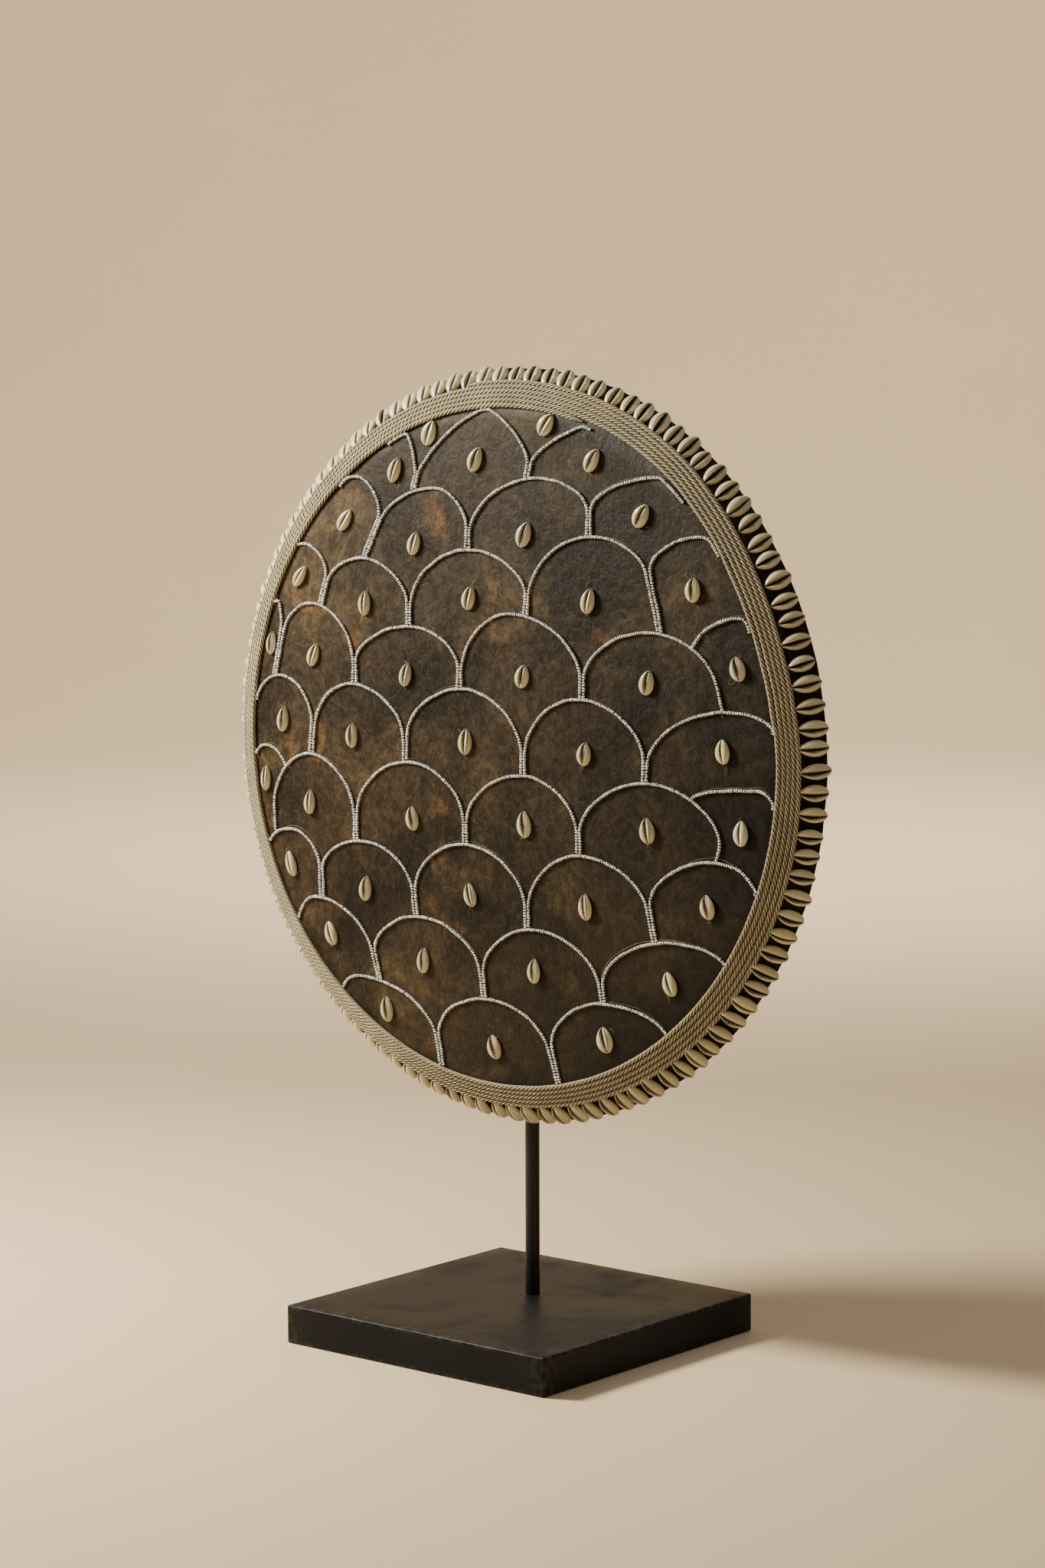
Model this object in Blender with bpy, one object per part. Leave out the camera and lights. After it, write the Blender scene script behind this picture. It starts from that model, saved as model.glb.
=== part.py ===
"""Round shield faced with dark hide, cowrie shells and strings of seed beads, on a square stand.

Frame: +Z up, the shield faces -Y, the origin is the middle of the stand's underside. Metres.
The face is laid out in its own plane: x to the right and z up from the middle of the shield,
and depth measured back from the edge of the face, so what stands proud has a negative depth.
"""
import functools
import math

import bmesh
import bpy
from mathutils import Matrix, Vector

# Clearance left between pieces that touch
GAP = 0.0003

# Stand
BASE_SIDE = 0.250
BASE_T = 0.029
BASE_EDGE = 0.0012
POLE_D = 0.011
POLE_X = -0.0044
POLE_SOCKET = 0.022
POLE_SIDES = 16

# Plate and screws that hold the board to the pole
PLATE_W = 0.040
PLATE_H = 0.160
PLATE_T = 0.002
PLATE_DROP = 0.030
POLE_BELOW_PLATE_TOP = 0.012
SCREW_INSET_X = 0.006
SCREW_INSET_Z = 0.015
SCREW_D = 0.0035
SCREW_INTO_BOARD = 0.012
SCREW_HEAD_D = 0.007
SCREW_HEAD_T = 0.0022
SCREW_SIDES = 8

# Shield board
SHIELD_X = -0.0104
SHIELD_Z = 0.4473
BOARD_BACK_Y = 0.0116
FACE_R = 0.2532
FACE_EDGE_T = 0.0201
DOME = 0.005
BEVEL_SLOPE = math.radians(22)
BEVEL_W = 0.0196
LEDGE = 0.0026
CHAMFER_SLOPE = math.radians(43)
CHAMFER_R = 0.0109
SEGMENTS = 48

# Cord wound on the bevel, from its outer end at the top, clockwise and inwards
CORD_D = 0.00366
CORD_LAPS = 5
CORD_START = math.radians(97.5)
CORD_OVERLAP = math.radians(22.5)
CORD_STEP_OVER = math.radians(60)
CORD_INNER_SHARE = 0.3
CORD_SIDES = 4

# Shells round the rim
RIM_SHELLS = 113
RIM_SHELL_L = 0.0190
RIM_SHELL_T = 0.0077
RIM_SHELL_SEAT = 0.0064
# Share of the pitch at which the first shell sits, and the angles of the two lost ones
RIM_PHASE = 0.87
LOST_SHELLS = (math.radians(181.0), math.radians(193.0))
# Section from the inner end outwards: shares of half the length and of the thickness
RIM_SECTION = ((-0.66, 0.88), (0.42, 0.96), (0.98, 0.0))
RIM_SECTION_CORE = 0.3
# Share of the pitch between a shell's two full sections, and size of the neck between shells
RIM_BODY = 0.5
RIM_NECK = 0.36

# Shells on the face
SHELL_L = 0.0190
SHELL_W = 0.0124
SHELL_T = 0.0063
SHELL_INSET = 0.0088
# Section of a shell: shares of half its width and of its thickness, slit left of the middle
SHELL_SECTION = ((-0.74, 0.0), (-1.0, 0.42), (-0.52, 0.93), (-0.16, 0.74), (0.30, 1.0), (1.0, 0.45),
                 (0.74, 0.0))
# Sections along a shell: share of half its length, width and thickness
SHELL_STATIONS = ((-0.60, 0.80, 0.84), (0.0, 1.0, 1.0), (0.62, 0.68, 0.78))
SHELL_TIP = 0.28

# Bead strings: one over each shell, in rows of scallops
BEAD_D = 0.0022
BEAD_RISE = 0.9
LEG_GAP = 0.0004
FULLNESS = 0.5
TOP_ROW_FULLNESS = 0.3
RIM_CORNER = 0.75
SHOULDER_TURN = math.radians(60)
STRING_STEP = 0.0205
SAMPLES = 120

# The maker's layout by hand, in thousandths of the face's radius from its middle.
# Each row of strings has its left and right ends at the rim, the foot and top of each pair of
# legs that come down side by side, and the crown of each string.
ROWS = (
    ((-431, 894), (342, 940),
     ((-330, 742, -319, 798), (109, 794, 117, 837)),
     ((-359, 924), (-47, 995), (332, 944))),
    ((-629, 767), (677, 737),
     ((-525, 557, -470, 664), (-113, 592, -111, 636), (342, 634, 341, 703)),
     ((-559, 796), (-249, 763), (150, 795), (585, 798))),
    ((-827, 573), (800, 583),
     ((-709, 407, -685, 482), (-344, 355, -344, 411), (111, 407, 115, 454), (598, 363, 557, 529)),
     ((-782, 590), (-537, 550), (-111, 583), (348, 629), (735, 633))),
    ((-930, 383), (906, 372),
     ((-908, 178, -877, 316), (-567, 172, -567, 237), (-142, 178, -140, 229), (322, 162, 322, 217),
      (816, 162, 794, 229)),
     ((-893, 411), (-750, 408), (-336, 350), (55, 399), (561, 361), (877, 410))),
    ((-994, 93), (997, 93),
     ((-752, -43, -744, 32), (-359, -47, -359, 12), (103, -67, 103, -12), (547, -67, 551, -12)),
     ((-881, 182), (-581, 168), (-130, 172), (308, 160), (845, 147))),
    ((-997, -73), (994, -115),
     ((-912, -296, -916, -229), (-567, -292, -567, -229), (-122, -280, -122, -225),
      (308, -288, 308, -229), (798, -276, 806, -245)),
     ((-944, -39), (-762, -55), (-340, -57), (103, -73), (565, -69), (932, -69))),
    ((-945, -350), (936, -362),
     ((-715, -490, -717, -403), (-324, -513, -330, -450), (113, -517, 113, -462), (579, -517, 559, -427)),
     ((-845, -294), (-533, -310), (-122, -290), (316, -294), (790, -280))),
    ((-823, -586), (825, -567),
     ((-480, -719, -500, -648), (-59, -739, -65, -675), (391, -713, 385, -671)),
     ((-739, -498), (-308, -523), (138, -525), (640, -521))),
    ((-639, -780), (622, -796),
     ((-233, -964, -249, -877), (219, -972, 192, -877)),
     ((-553, -727), (-47, -748), (395, -719))),
)
# Strings that start on their neighbour instead of beside it: row, place in the row, and where
SHOULDERS = {(3, 5): 714, (5, 0): -866, (5, 5): 715}
# Middle of each shell on the face, and its lean to the right in degrees
SHELLS = (
    (-271, 928, 22), (178, 949, 38), (-405, 816, 22), (-87, 848, 25), (350, 846, 33), (-611, 664, 37),
    (-324, 598, 18), (103, 631, 22), (529, 690, 33), (-799, 489, 38), (-523, 415, 5), (-105, 441, 14),
    (344, 444, 14), (714, 485, 2), (-926, 281, 10), (-741, 250, 22), (-355, 205, 15), (101, 218, 14),
    (556, 218, 12), (868, 269, -16), (-874, 46, 9), (-578, 10, 2), (-118, 16, 5), (332, 3, 8),
    (820, 35, -5), (-952, -141, 3), (-760, -205, 6), (-332, -227, -8), (107, -216, -5), (558, -205, -7),
    (882, -191, 2), (-846, -403, -17), (-528, -455, 7), (-105, -441, -13), (333, -442, -5),
    (767, -408, -12), (-680, -607, -19), (-296, -656, 4), (138, -648, 2), (632, -640, -19),
    (-451, -820, -6), (-22, -891, -17), (395, -826, -15),
)

# Worked out from the sizes above
FACE_Y = BOARD_BACK_Y - FACE_EDGE_T
BEVEL_R = BEVEL_W * math.cos(BEVEL_SLOPE)
BEVEL_DEPTH = BEVEL_W * math.sin(BEVEL_SLOPE)
CHAMFER_START_R = FACE_R + BEVEL_R
CHAMFER_START_DEPTH = BEVEL_DEPTH + LEDGE
BOARD_R = CHAMFER_START_R + CHAMFER_R
CHAMFER_END_DEPTH = CHAMFER_START_DEPTH + CHAMFER_R * math.tan(CHAMFER_SLOPE)
CORD_HALF = (CORD_D - GAP) / 2
CORD_H = CORD_HALF + GAP
PLATE_BACK_Y = BOARD_BACK_Y + GAP + PLATE_T
POLE_Y = PLATE_BACK_Y + GAP + POLE_D / 2
PLATE_TOP = SHIELD_Z - PLATE_DROP + PLATE_H / 2
DOME_RINGS = (0.0, 0.5, 1.0)
SCREW_SPREAD_X = PLATE_W - 2 * SCREW_INSET_X
SCREW_SPREAD_Z = PLATE_H - 2 * SCREW_INSET_Z

# How metallic the finishes are
STEEL_METALLIC = 0.6
ZINC_METALLIC = 0.9


def clear_scene():
    for item in list(bpy.data.objects):
        bpy.data.objects.remove(item, do_unlink=True)


def paint(name, colour, roughness, metallic=0.0):
    """A Principled material of one colour."""
    material = bpy.data.materials.new(name)
    material.use_nodes = True
    shader = material.node_tree.nodes["Principled BSDF"]
    shader.inputs["Base Color"].default_value = (*colour, 1.0)
    shader.inputs["Roughness"].default_value = roughness
    shader.inputs["Metallic"].default_value = metallic
    return material


def add_object(name, mesh, material):
    """Put a mesh in the scene as a named node."""
    item = bpy.data.objects.new(name, mesh)
    bpy.context.scene.collection.objects.link(item)
    if not mesh.materials:
        mesh.materials.append(material)
    return item


def mesh_from(bm, name, sharp=math.radians(35)):
    """Turn a bmesh into a smooth-shaded mesh with its faces pointing out."""
    bmesh.ops.recalc_face_normals(bm, faces=bm.faces)
    mesh = bpy.data.meshes.new(name)
    bm.to_mesh(mesh)
    bm.free()
    mesh.shade_smooth()
    mesh.set_sharp_from_angle(angle=sharp)
    return mesh


def cut(item, bm, name):
    """Cut a hidden shape out of an object with a Boolean."""
    cutter = add_object(name, mesh_from(bm, name), None)
    cutter.hide_render = True
    cutter.display_type = "WIRE"
    boolean = item.modifiers.new(name, "BOOLEAN")
    boolean.operation = "DIFFERENCE"
    boolean.object = cutter


def add_rod(bm, radius, y0, y1, x, z, sides):
    """A capped rod along Y between two depths."""
    turn = Matrix.Translation((x, (y0 + y1) / 2, z)) @ Matrix.Rotation(math.pi / 2, 4, "X")
    bmesh.ops.create_cone(bm, cap_ends=True, segments=sides, radius1=radius, radius2=radius,
                          depth=y1 - y0, matrix=turn)


# Face plane helpers
def face_depth(radius):
    """Depth of the face, whose dome is turned in straight steps between its rings."""
    share = min(abs(radius) / FACE_R, 1.0)
    for low, high in zip(DOME_RINGS, DOME_RINGS[1:]):
        if share <= high:
            start = -DOME * (1 - low ** 2)
            end = -DOME * (1 - high ** 2)
            return start + (end - start) * (share - low) / (high - low)
    return 0.0


def on_shield(x, z, depth):
    """World place of a point given in the face plane."""
    return Vector((SHIELD_X + x, FACE_Y + depth, SHIELD_Z + z))


def on_ring(angle, radius, depth):
    return on_shield(radius * math.cos(angle), radius * math.sin(angle), depth)


def smooth(t):
    t = min(max(t, 0.0), 1.0)
    return t * t * (3 - 2 * t)


# Layout of the strings and shells
def laid(x, z):
    """A place of the maker's layout in metres."""
    return Vector((x * FACE_R / 1000, z * FACE_R / 1000))


def bezier(points, share):
    """Point of a curve led by two or more points."""
    while len(points) > 1:
        points = [a.lerp(b, share) for a, b in zip(points, points[1:])]
    return points[0]


def string_limit():
    """Largest radius of a string's middle, beside the innermost turn of cord."""
    across = CORD_INNER_SHARE * CORD_D * math.cos(BEVEL_SLOPE) + CORD_H * math.sin(BEVEL_SLOPE)
    inner = FACE_R + across - CORD_HALF * math.cos(BEVEL_SLOPE)
    return inner * math.cos(math.pi / SEGMENTS) - BEAD_D / 2 - GAP


def height_on(routes, x):
    """Height of the uppermost string at an x, or of the rim below."""
    height = -math.sqrt(max(string_limit() ** 2 - x ** 2, 0.0))
    for route in routes:
        for a, b in zip(route, route[1:]):
            low, high = sorted((a, b), key=lambda point: point[0])
            if low[0] <= x < high[0]:
                height = max(height, low[1] + (high[1] - low[1]) * (x - low[0]) / (high[0] - low[0]))
    return height


def leg(row, i, side):
    """Foot and top of a string's leg on its left (-1) or right (1)."""
    foot_x, foot_z, top_x, top_z = ROWS[row][2][i - 1 if side < 0 else i]
    aside = 0.0 if (row, i + side) in SHOULDERS else -side * (BEAD_D + LEG_GAP) / 2
    foot = laid(foot_x, foot_z)
    foot[0] += aside
    top = laid(top_x, top_z)
    top[0] += aside
    return foot, top


def half_string(row, i, side):
    """Points of a string from its crown to its end on its left (-1) or right (1)."""
    left_end, right_end, legs, crowns = ROWS[row]
    crown = laid(*crowns[i])
    if i == (0 if side < 0 else len(legs)):
        end = laid(*(left_end if side < 0 else right_end))
        corner = Vector((crown[0] + (end[0] - crown[0]) * RIM_CORNER, crown[1]))
        return [bezier((crown, corner, end), n / SAMPLES) for n in range(SAMPLES + 1)]
    if (row, i) in SHOULDERS:
        top = laid(SHOULDERS[row, i], 0)
        top[1] = height_on([string_route(row, i + side)], top[0])
        ahead = Vector((-side * math.cos(SHOULDER_TURN), math.sin(SHOULDER_TURN)))
    else:
        foot, top = leg(row, i, side)
        ahead = (top - foot).normalized()
    fullness = TOP_ROW_FULLNESS if row == 0 else FULLNESS
    lead = top + ahead * (crown[1] - top[1]) * fullness
    over = Vector((crown[0] + (top[0] - crown[0]) * fullness, crown[1]))
    points = [bezier((crown, over, lead, top), n / SAMPLES) for n in range(SAMPLES + 1)]
    if (row, i) not in SHOULDERS:
        below = ROWS[row + 1][3] if row + 1 < len(ROWS) else ()
        foot[1] = height_on([string_route(row + 1, n) for n in range(len(below))], foot[0])
        points += [top.lerp(foot, n / SAMPLES) for n in range(1, SAMPLES + 1)]
    return points


def resample(points, step):
    """The same route in even steps of about a given length."""
    lengths = [0.0]
    for a, b in zip(points, points[1:]):
        lengths.append(lengths[-1] + (b - a).length)
    count = max(2, round(lengths[-1] / step))
    route = []
    at = 0
    for i in range(count + 1):
        want = lengths[-1] * i / count
        while at < len(lengths) - 2 and lengths[at + 1] < want:
            at += 1
        span = lengths[at + 1] - lengths[at]
        route.append(points[at].lerp(points[at + 1], (want - lengths[at]) / span if span > 0 else 0.0))
    return route


@functools.lru_cache(maxsize=None)
def string_route(row, i):
    """Route of a string from left to right, kept inside the rim."""
    points = half_string(row, i, -1)[::-1] + half_string(row, i, 1)[1:]
    limit = string_limit()
    held = [point * min(1.0, limit / max(point.length, 1e-9)) for point in points]
    return resample(held, STRING_STEP)


def face_shells():
    """Middle and lean of every shell on the face, none nearer the rim than its inset."""
    found = []
    for x, z, lean in SHELLS:
        place = laid(x, z)
        place *= min(1.0, (FACE_R - SHELL_INSET) / max(place.length, 1e-9))
        found.append((place[0], place[1], math.radians(lean)))
    return found


# Board
def board_profile():
    """Half section of the board, from the middle of the face round to the middle of the back."""
    profile = [(share * FACE_R, -DOME * (1 - share ** 2)) for share in DOME_RINGS]
    profile.append((CHAMFER_START_R, BEVEL_DEPTH))
    profile.append((CHAMFER_START_R, CHAMFER_START_DEPTH))
    profile.append((BOARD_R, CHAMFER_END_DEPTH))
    if FACE_EDGE_T - CHAMFER_END_DEPTH > GAP:
        profile.append((BOARD_R, FACE_EDGE_T))
    profile.append((0.0, FACE_EDGE_T))
    return profile


def make_board(material):
    bm = bmesh.new()
    points = [bm.verts.new(on_ring(0.0, radius, depth)) for radius, depth in board_profile()]
    edges = [bm.edges.new(pair) for pair in zip(points, points[1:])]
    bmesh.ops.spin(bm, geom=points + edges, cent=on_shield(0, 0, 0), axis=(0, 1, 0),
                   angle=2 * math.pi, steps=SEGMENTS, use_duplicate=False)
    bmesh.ops.remove_doubles(bm, verts=bm.verts, dist=0.00002)
    board = add_object("shield_board", mesh_from(bm, "shield_board"), material)
    holes = bmesh.new()
    for x, z in screw_places():
        add_rod(holes, SCREW_D / 2 + GAP, BOARD_BACK_Y - SCREW_INTO_BOARD - GAP,
                BOARD_BACK_Y + PLATE_T, x, z, SCREW_SIDES)
    cut(board, holes, "board_screw_holes")


# Cord
def cord_across(turned):
    """How far across the bevel the cord lies after turning by an angle from its outer end."""
    lap, rest = divmod(turned + 1e-9, 2 * math.pi)
    step = smooth((rest - CORD_OVERLAP) / CORD_STEP_OVER)
    return CORD_D * (CORD_INNER_SHARE + CORD_LAPS - lap - step)


def make_cord(material):
    bm = bmesh.new()
    per_segment = 2 * math.pi / SEGMENTS
    total = CORD_LAPS * SEGMENTS + round(CORD_OVERLAP / per_segment)
    out = Vector((math.cos(BEVEL_SLOPE), math.sin(BEVEL_SLOPE)))
    up = Vector((math.sin(BEVEL_SLOPE), -math.cos(BEVEL_SLOPE)))
    rings = []
    for i in range(total + 1):
        across = cord_across(i * per_segment)
        ring = []
        for k in range(CORD_SIDES):
            turn = 2 * math.pi * k / CORD_SIDES
            place = (out * (across + CORD_HALF * math.cos(turn))
                     + up * (CORD_H + CORD_HALF * math.sin(turn)))
            ring.append(bm.verts.new(on_ring(CORD_START - i * per_segment, FACE_R + place[0], place[1])))
        rings.append(ring)
    for a, b in zip(rings, rings[1:]):
        for k in range(CORD_SIDES):
            n = (k + 1) % CORD_SIDES
            bm.faces.new((a[k], a[n], b[n], b[k]))
    bm.faces.new(rings[0])
    bm.faces.new(rings[-1][::-1])
    add_object("wound_cord", mesh_from(bm, "wound_cord"), material)


# Shells round the rim, fused into one ring where neighbours touch
def rim_section(size):
    """Section of a shell along its length and height above the chamfer, drawn in by a share."""
    core = RIM_SECTION_CORE * RIM_SHELL_T
    section = [(GAP - RIM_SHELL_SEAT, GAP)]
    for u, v in RIM_SECTION:
        height = core + (v * RIM_SHELL_T - core) * size if v else GAP
        section.append((u * size * RIM_SHELL_L / 2, height))
    return section


def make_rim_shells(material):
    bm = bmesh.new()
    pitch = 2 * math.pi / RIM_SHELLS
    along = Vector((math.cos(CHAMFER_SLOPE), math.sin(CHAMFER_SLOPE)))
    up = Vector((math.sin(CHAMFER_SLOPE), -math.cos(CHAMFER_SLOPE)))
    rings = []
    for i in range(RIM_SHELLS):
        centre = pitch * (i + RIM_PHASE)
        body = RIM_NECK if min(abs(centre - lost) for lost in LOST_SHELLS) < pitch / 2 else 1.0
        for offset, size in ((-0.5, RIM_NECK), (-RIM_BODY / 2, body), (RIM_BODY / 2, body)):
            angle = centre + offset * pitch
            ring = []
            for u, v in rim_section(size):
                place = along * (RIM_SHELL_SEAT + u) + up * v
                ring.append(bm.verts.new(on_ring(angle, CHAMFER_START_R + place[0],
                                                 CHAMFER_START_DEPTH + place[1])))
            rings.append(ring)
    for a, b in zip(rings, rings[1:] + rings[:1]):
        for k in range(len(a)):
            n = (k + 1) % len(a)
            bm.faces.new((a[k], b[k], b[n], a[n]))
    add_object("rim_cowries", mesh_from(bm, "rim_cowries"), material)


# Shells on the face
def shell_mesh():
    """A shell lying on its ground-down back, narrow end up."""
    bm = bmesh.new()
    count = len(SHELL_SECTION)
    rings = []
    for at, wide, high in SHELL_STATIONS:
        rings.append([bm.verts.new((x * wide * SHELL_W / 2, at * SHELL_L / 2, z * high * SHELL_T))
                      for x, z in SHELL_SECTION])
    for a, b in zip(rings, rings[1:]):
        for k in range(count):
            n = (k + 1) % count
            bm.faces.new((a[k], a[n], b[n], b[k]))
    for ring, end in ((rings[0][::-1], -1), (rings[-1], 1)):
        tip = bm.verts.new((0.0, end * SHELL_L / 2, SHELL_TIP * SHELL_T))
        for k in range(count):
            bm.faces.new((ring[k], ring[(k + 1) % count], tip))
    return mesh_from(bm, "face_cowrie")


def shell_turn(x, z, lean):
    """Axes of a shell on the dome: across, along towards its narrow end, and out of the face."""
    radius = max(math.hypot(x, z), 1e-6)
    step = FACE_R / 100
    slope = (face_depth(radius + step) - face_depth(radius - step)) / (2 * step)
    out = Vector((slope * x / radius, -1.0, slope * z / radius)).normalized()
    up = Vector((math.sin(lean), 0.0, math.cos(lean)))
    up = (up - out * up.dot(out)).normalized()
    across = up.cross(out)
    return Matrix((across, up, out)).transposed().to_4x4()


def make_face_shells(material):
    mesh = shell_mesh()
    for i, (x, z, lean) in enumerate(face_shells()):
        shell = add_object(f"face_cowrie_{i + 1:02d}", mesh, material)
        place = on_shield(x, z, face_depth(math.hypot(x, z)) - GAP)
        shell.matrix_world = Matrix.Translation(place) @ shell_turn(x, z, lean)


# Bead strings, fused into one net where a leg ends on the string below
def add_string(bm, route):
    """A three-sided run of beads with its flat side to the hide."""
    half = BEAD_D / 2
    rings = []
    for i, (x, z) in enumerate(route):
        before = route[max(i - 1, 0)]
        after = route[min(i + 1, len(route) - 1)]
        ahead = Vector((after[0] - before[0], after[1] - before[1])).normalized()
        side = Vector((-ahead[1], ahead[0])) * half
        ring = []
        for share, height in ((1.0, GAP), (-1.0, GAP), (0.0, GAP + BEAD_D * BEAD_RISE)):
            at = (x + side[0] * share, z + side[1] * share)
            ring.append(bm.verts.new(on_shield(at[0], at[1], face_depth(math.hypot(*at)) - height)))
        rings.append(ring)
    for a, b in zip(rings, rings[1:]):
        for k in range(3):
            n = (k + 1) % 3
            bm.faces.new((a[k], b[k], b[n], a[n]))
    bm.faces.new(rings[0])
    bm.faces.new(rings[-1][::-1])


def make_bead_net(material):
    """Odd and even rows are two sets whose strings keep apart, joined by a Boolean union."""
    sets = (bmesh.new(), bmesh.new())
    for row, (_, _, _, crowns) in enumerate(ROWS):
        for i in range(len(crowns)):
            add_string(sets[(row + ((row, i) in SHOULDERS)) % 2], string_route(row, i))
    net = add_object("bead_scallops", mesh_from(sets[0], "bead_scallops"), material)
    other = add_object("bead_scallops_odd_rows", mesh_from(sets[1], "bead_scallops_odd_rows"), material)
    other.hide_render = True
    other.display_type = "WIRE"
    union = net.modifiers.new("odd_rows", "BOOLEAN")
    union.operation = "UNION"
    union.object = other


# Stand
def screw_places():
    """Middles of the four screws, as world x and z."""
    middle = PLATE_TOP - PLATE_H / 2
    return [(POLE_X + sx * SCREW_SPREAD_X / 2, middle + sz * SCREW_SPREAD_Z / 2)
            for sz in (-1, 1) for sx in (-1, 1)]


def make_base(material):
    bm = bmesh.new()
    bmesh.ops.create_cube(bm, size=1.0, matrix=Matrix.Translation((0, 0, BASE_T / 2))
                          @ Matrix.Diagonal((BASE_SIDE, BASE_SIDE, BASE_T, 1)))
    bmesh.ops.bevel(bm, geom=bm.edges, offset=BASE_EDGE, segments=1, affect="EDGES")
    base = add_object("base_plate", mesh_from(bm, "base_plate"), material)
    socket = bmesh.new()
    bmesh.ops.create_cone(socket, cap_ends=True, segments=POLE_SIDES, radius1=POLE_D / 2 + GAP,
                          radius2=POLE_D / 2 + GAP, depth=2 * (POLE_SOCKET + GAP),
                          matrix=Matrix.Translation((POLE_X, POLE_Y, BASE_T)))
    cut(base, socket, "pole_socket")


def make_pole(material):
    bm = bmesh.new()
    low = BASE_T - POLE_SOCKET
    high = PLATE_TOP - POLE_BELOW_PLATE_TOP
    bmesh.ops.create_cone(bm, cap_ends=True, segments=POLE_SIDES, radius1=POLE_D / 2, radius2=POLE_D / 2,
                          depth=high - low, matrix=Matrix.Translation((POLE_X, POLE_Y, (low + high) / 2)))
    add_object("pole", mesh_from(bm, "pole"), material)


def make_plate(material):
    bm = bmesh.new()
    middle = (POLE_X, PLATE_BACK_Y - PLATE_T / 2, PLATE_TOP - PLATE_H / 2)
    bmesh.ops.create_cube(bm, size=1.0, matrix=Matrix.Translation(middle)
                          @ Matrix.Diagonal((PLATE_W, PLATE_T, PLATE_H, 1)))
    plate = add_object("back_plate", mesh_from(bm, "back_plate"), material)
    holes = bmesh.new()
    for x, z in screw_places():
        add_rod(holes, SCREW_D / 2 + GAP, BOARD_BACK_Y, PLATE_BACK_Y + PLATE_T, x, z, SCREW_SIDES)
    cut(plate, holes, "plate_screw_holes")


def make_screws(material):
    """Each screw is turned: a shank in the board and a domed head on the plate."""
    tip = BOARD_BACK_Y - SCREW_INTO_BOARD
    seat = PLATE_BACK_Y + GAP
    profile = ((0.0, tip), (SCREW_D / 2, tip + SCREW_D), (SCREW_D / 2, seat), (SCREW_HEAD_D / 2, seat),
               (SCREW_HEAD_D * 0.35, seat + SCREW_HEAD_T), (0.0, seat + SCREW_HEAD_T))
    for i, (x, z) in enumerate(screw_places()):
        bm = bmesh.new()
        points = [bm.verts.new((x + radius, y, z)) for radius, y in profile]
        edges = [bm.edges.new(pair) for pair in zip(points, points[1:])]
        bmesh.ops.spin(bm, geom=points + edges, cent=(x, 0, z), axis=(0, 1, 0), angle=2 * math.pi,
                       steps=SCREW_SIDES, use_duplicate=False)
        bmesh.ops.remove_doubles(bm, verts=bm.verts, dist=0.00002)
        name = f"plate_screw_{i + 1}"
        add_object(name, mesh_from(bm, name), material)


def main():
    clear_scene()
    shell = paint("cowrie_shell", (0.68, 0.61, 0.44), 0.28)
    black = paint("black_paint", (0.016, 0.015, 0.014), 0.55)
    steel = paint("black_steel", (0.02, 0.02, 0.02), 0.38, STEEL_METALLIC)
    make_board(paint("dark_hide", (0.055, 0.036, 0.024), 0.62))
    make_cord(paint("twisted_cord", (0.40, 0.31, 0.19), 0.85))
    make_rim_shells(shell)
    make_face_shells(shell)
    make_bead_net(paint("glass_beads", (0.72, 0.74, 0.72), 0.35))
    make_base(black)
    make_pole(steel)
    make_plate(steel)
    make_screws(paint("zinc_screw", (0.45, 0.44, 0.42), 0.4, ZINC_METALLIC))


main()
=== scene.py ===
"""Dresses the cowrie shield: hide, wound twine, shells, bead strings and the black stand.

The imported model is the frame: +Z up, the shield faces -Y, metres, origin under the stand's foot.
The face is laid out in its own plane: x to the right and z up from the middle of the shield,
and depth measured back from the edge of the face.
"""
import math
import random

import bmesh
import bpy
from bpy.props import FloatProperty, FloatVectorProperty, IntProperty, PointerProperty
from mathutils import Matrix, Vector, noise


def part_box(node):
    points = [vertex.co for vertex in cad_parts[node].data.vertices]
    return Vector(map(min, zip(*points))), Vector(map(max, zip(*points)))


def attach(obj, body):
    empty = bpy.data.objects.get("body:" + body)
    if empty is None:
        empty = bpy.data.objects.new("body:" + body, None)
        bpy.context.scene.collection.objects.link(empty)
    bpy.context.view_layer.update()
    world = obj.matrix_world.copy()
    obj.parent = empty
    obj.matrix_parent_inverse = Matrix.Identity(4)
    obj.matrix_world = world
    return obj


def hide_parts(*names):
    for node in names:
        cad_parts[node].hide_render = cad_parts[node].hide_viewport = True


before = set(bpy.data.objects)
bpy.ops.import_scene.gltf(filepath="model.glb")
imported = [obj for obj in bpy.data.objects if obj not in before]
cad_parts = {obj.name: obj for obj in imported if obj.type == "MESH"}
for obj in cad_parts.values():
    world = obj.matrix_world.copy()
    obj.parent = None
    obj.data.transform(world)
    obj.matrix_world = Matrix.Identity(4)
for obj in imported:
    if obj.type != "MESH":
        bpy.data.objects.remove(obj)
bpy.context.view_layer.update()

bl_info = {
    "name": "Cowrie shield dresser",
    "version": (1, 0, 0),
    "blender": (4, 5, 0),
    "location": "View3D > Sidebar > Shield",
    "description": "Makes the hide, twine, shells, beads and stand of a cowrie shield",
    "category": "Add Mesh",
}

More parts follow.
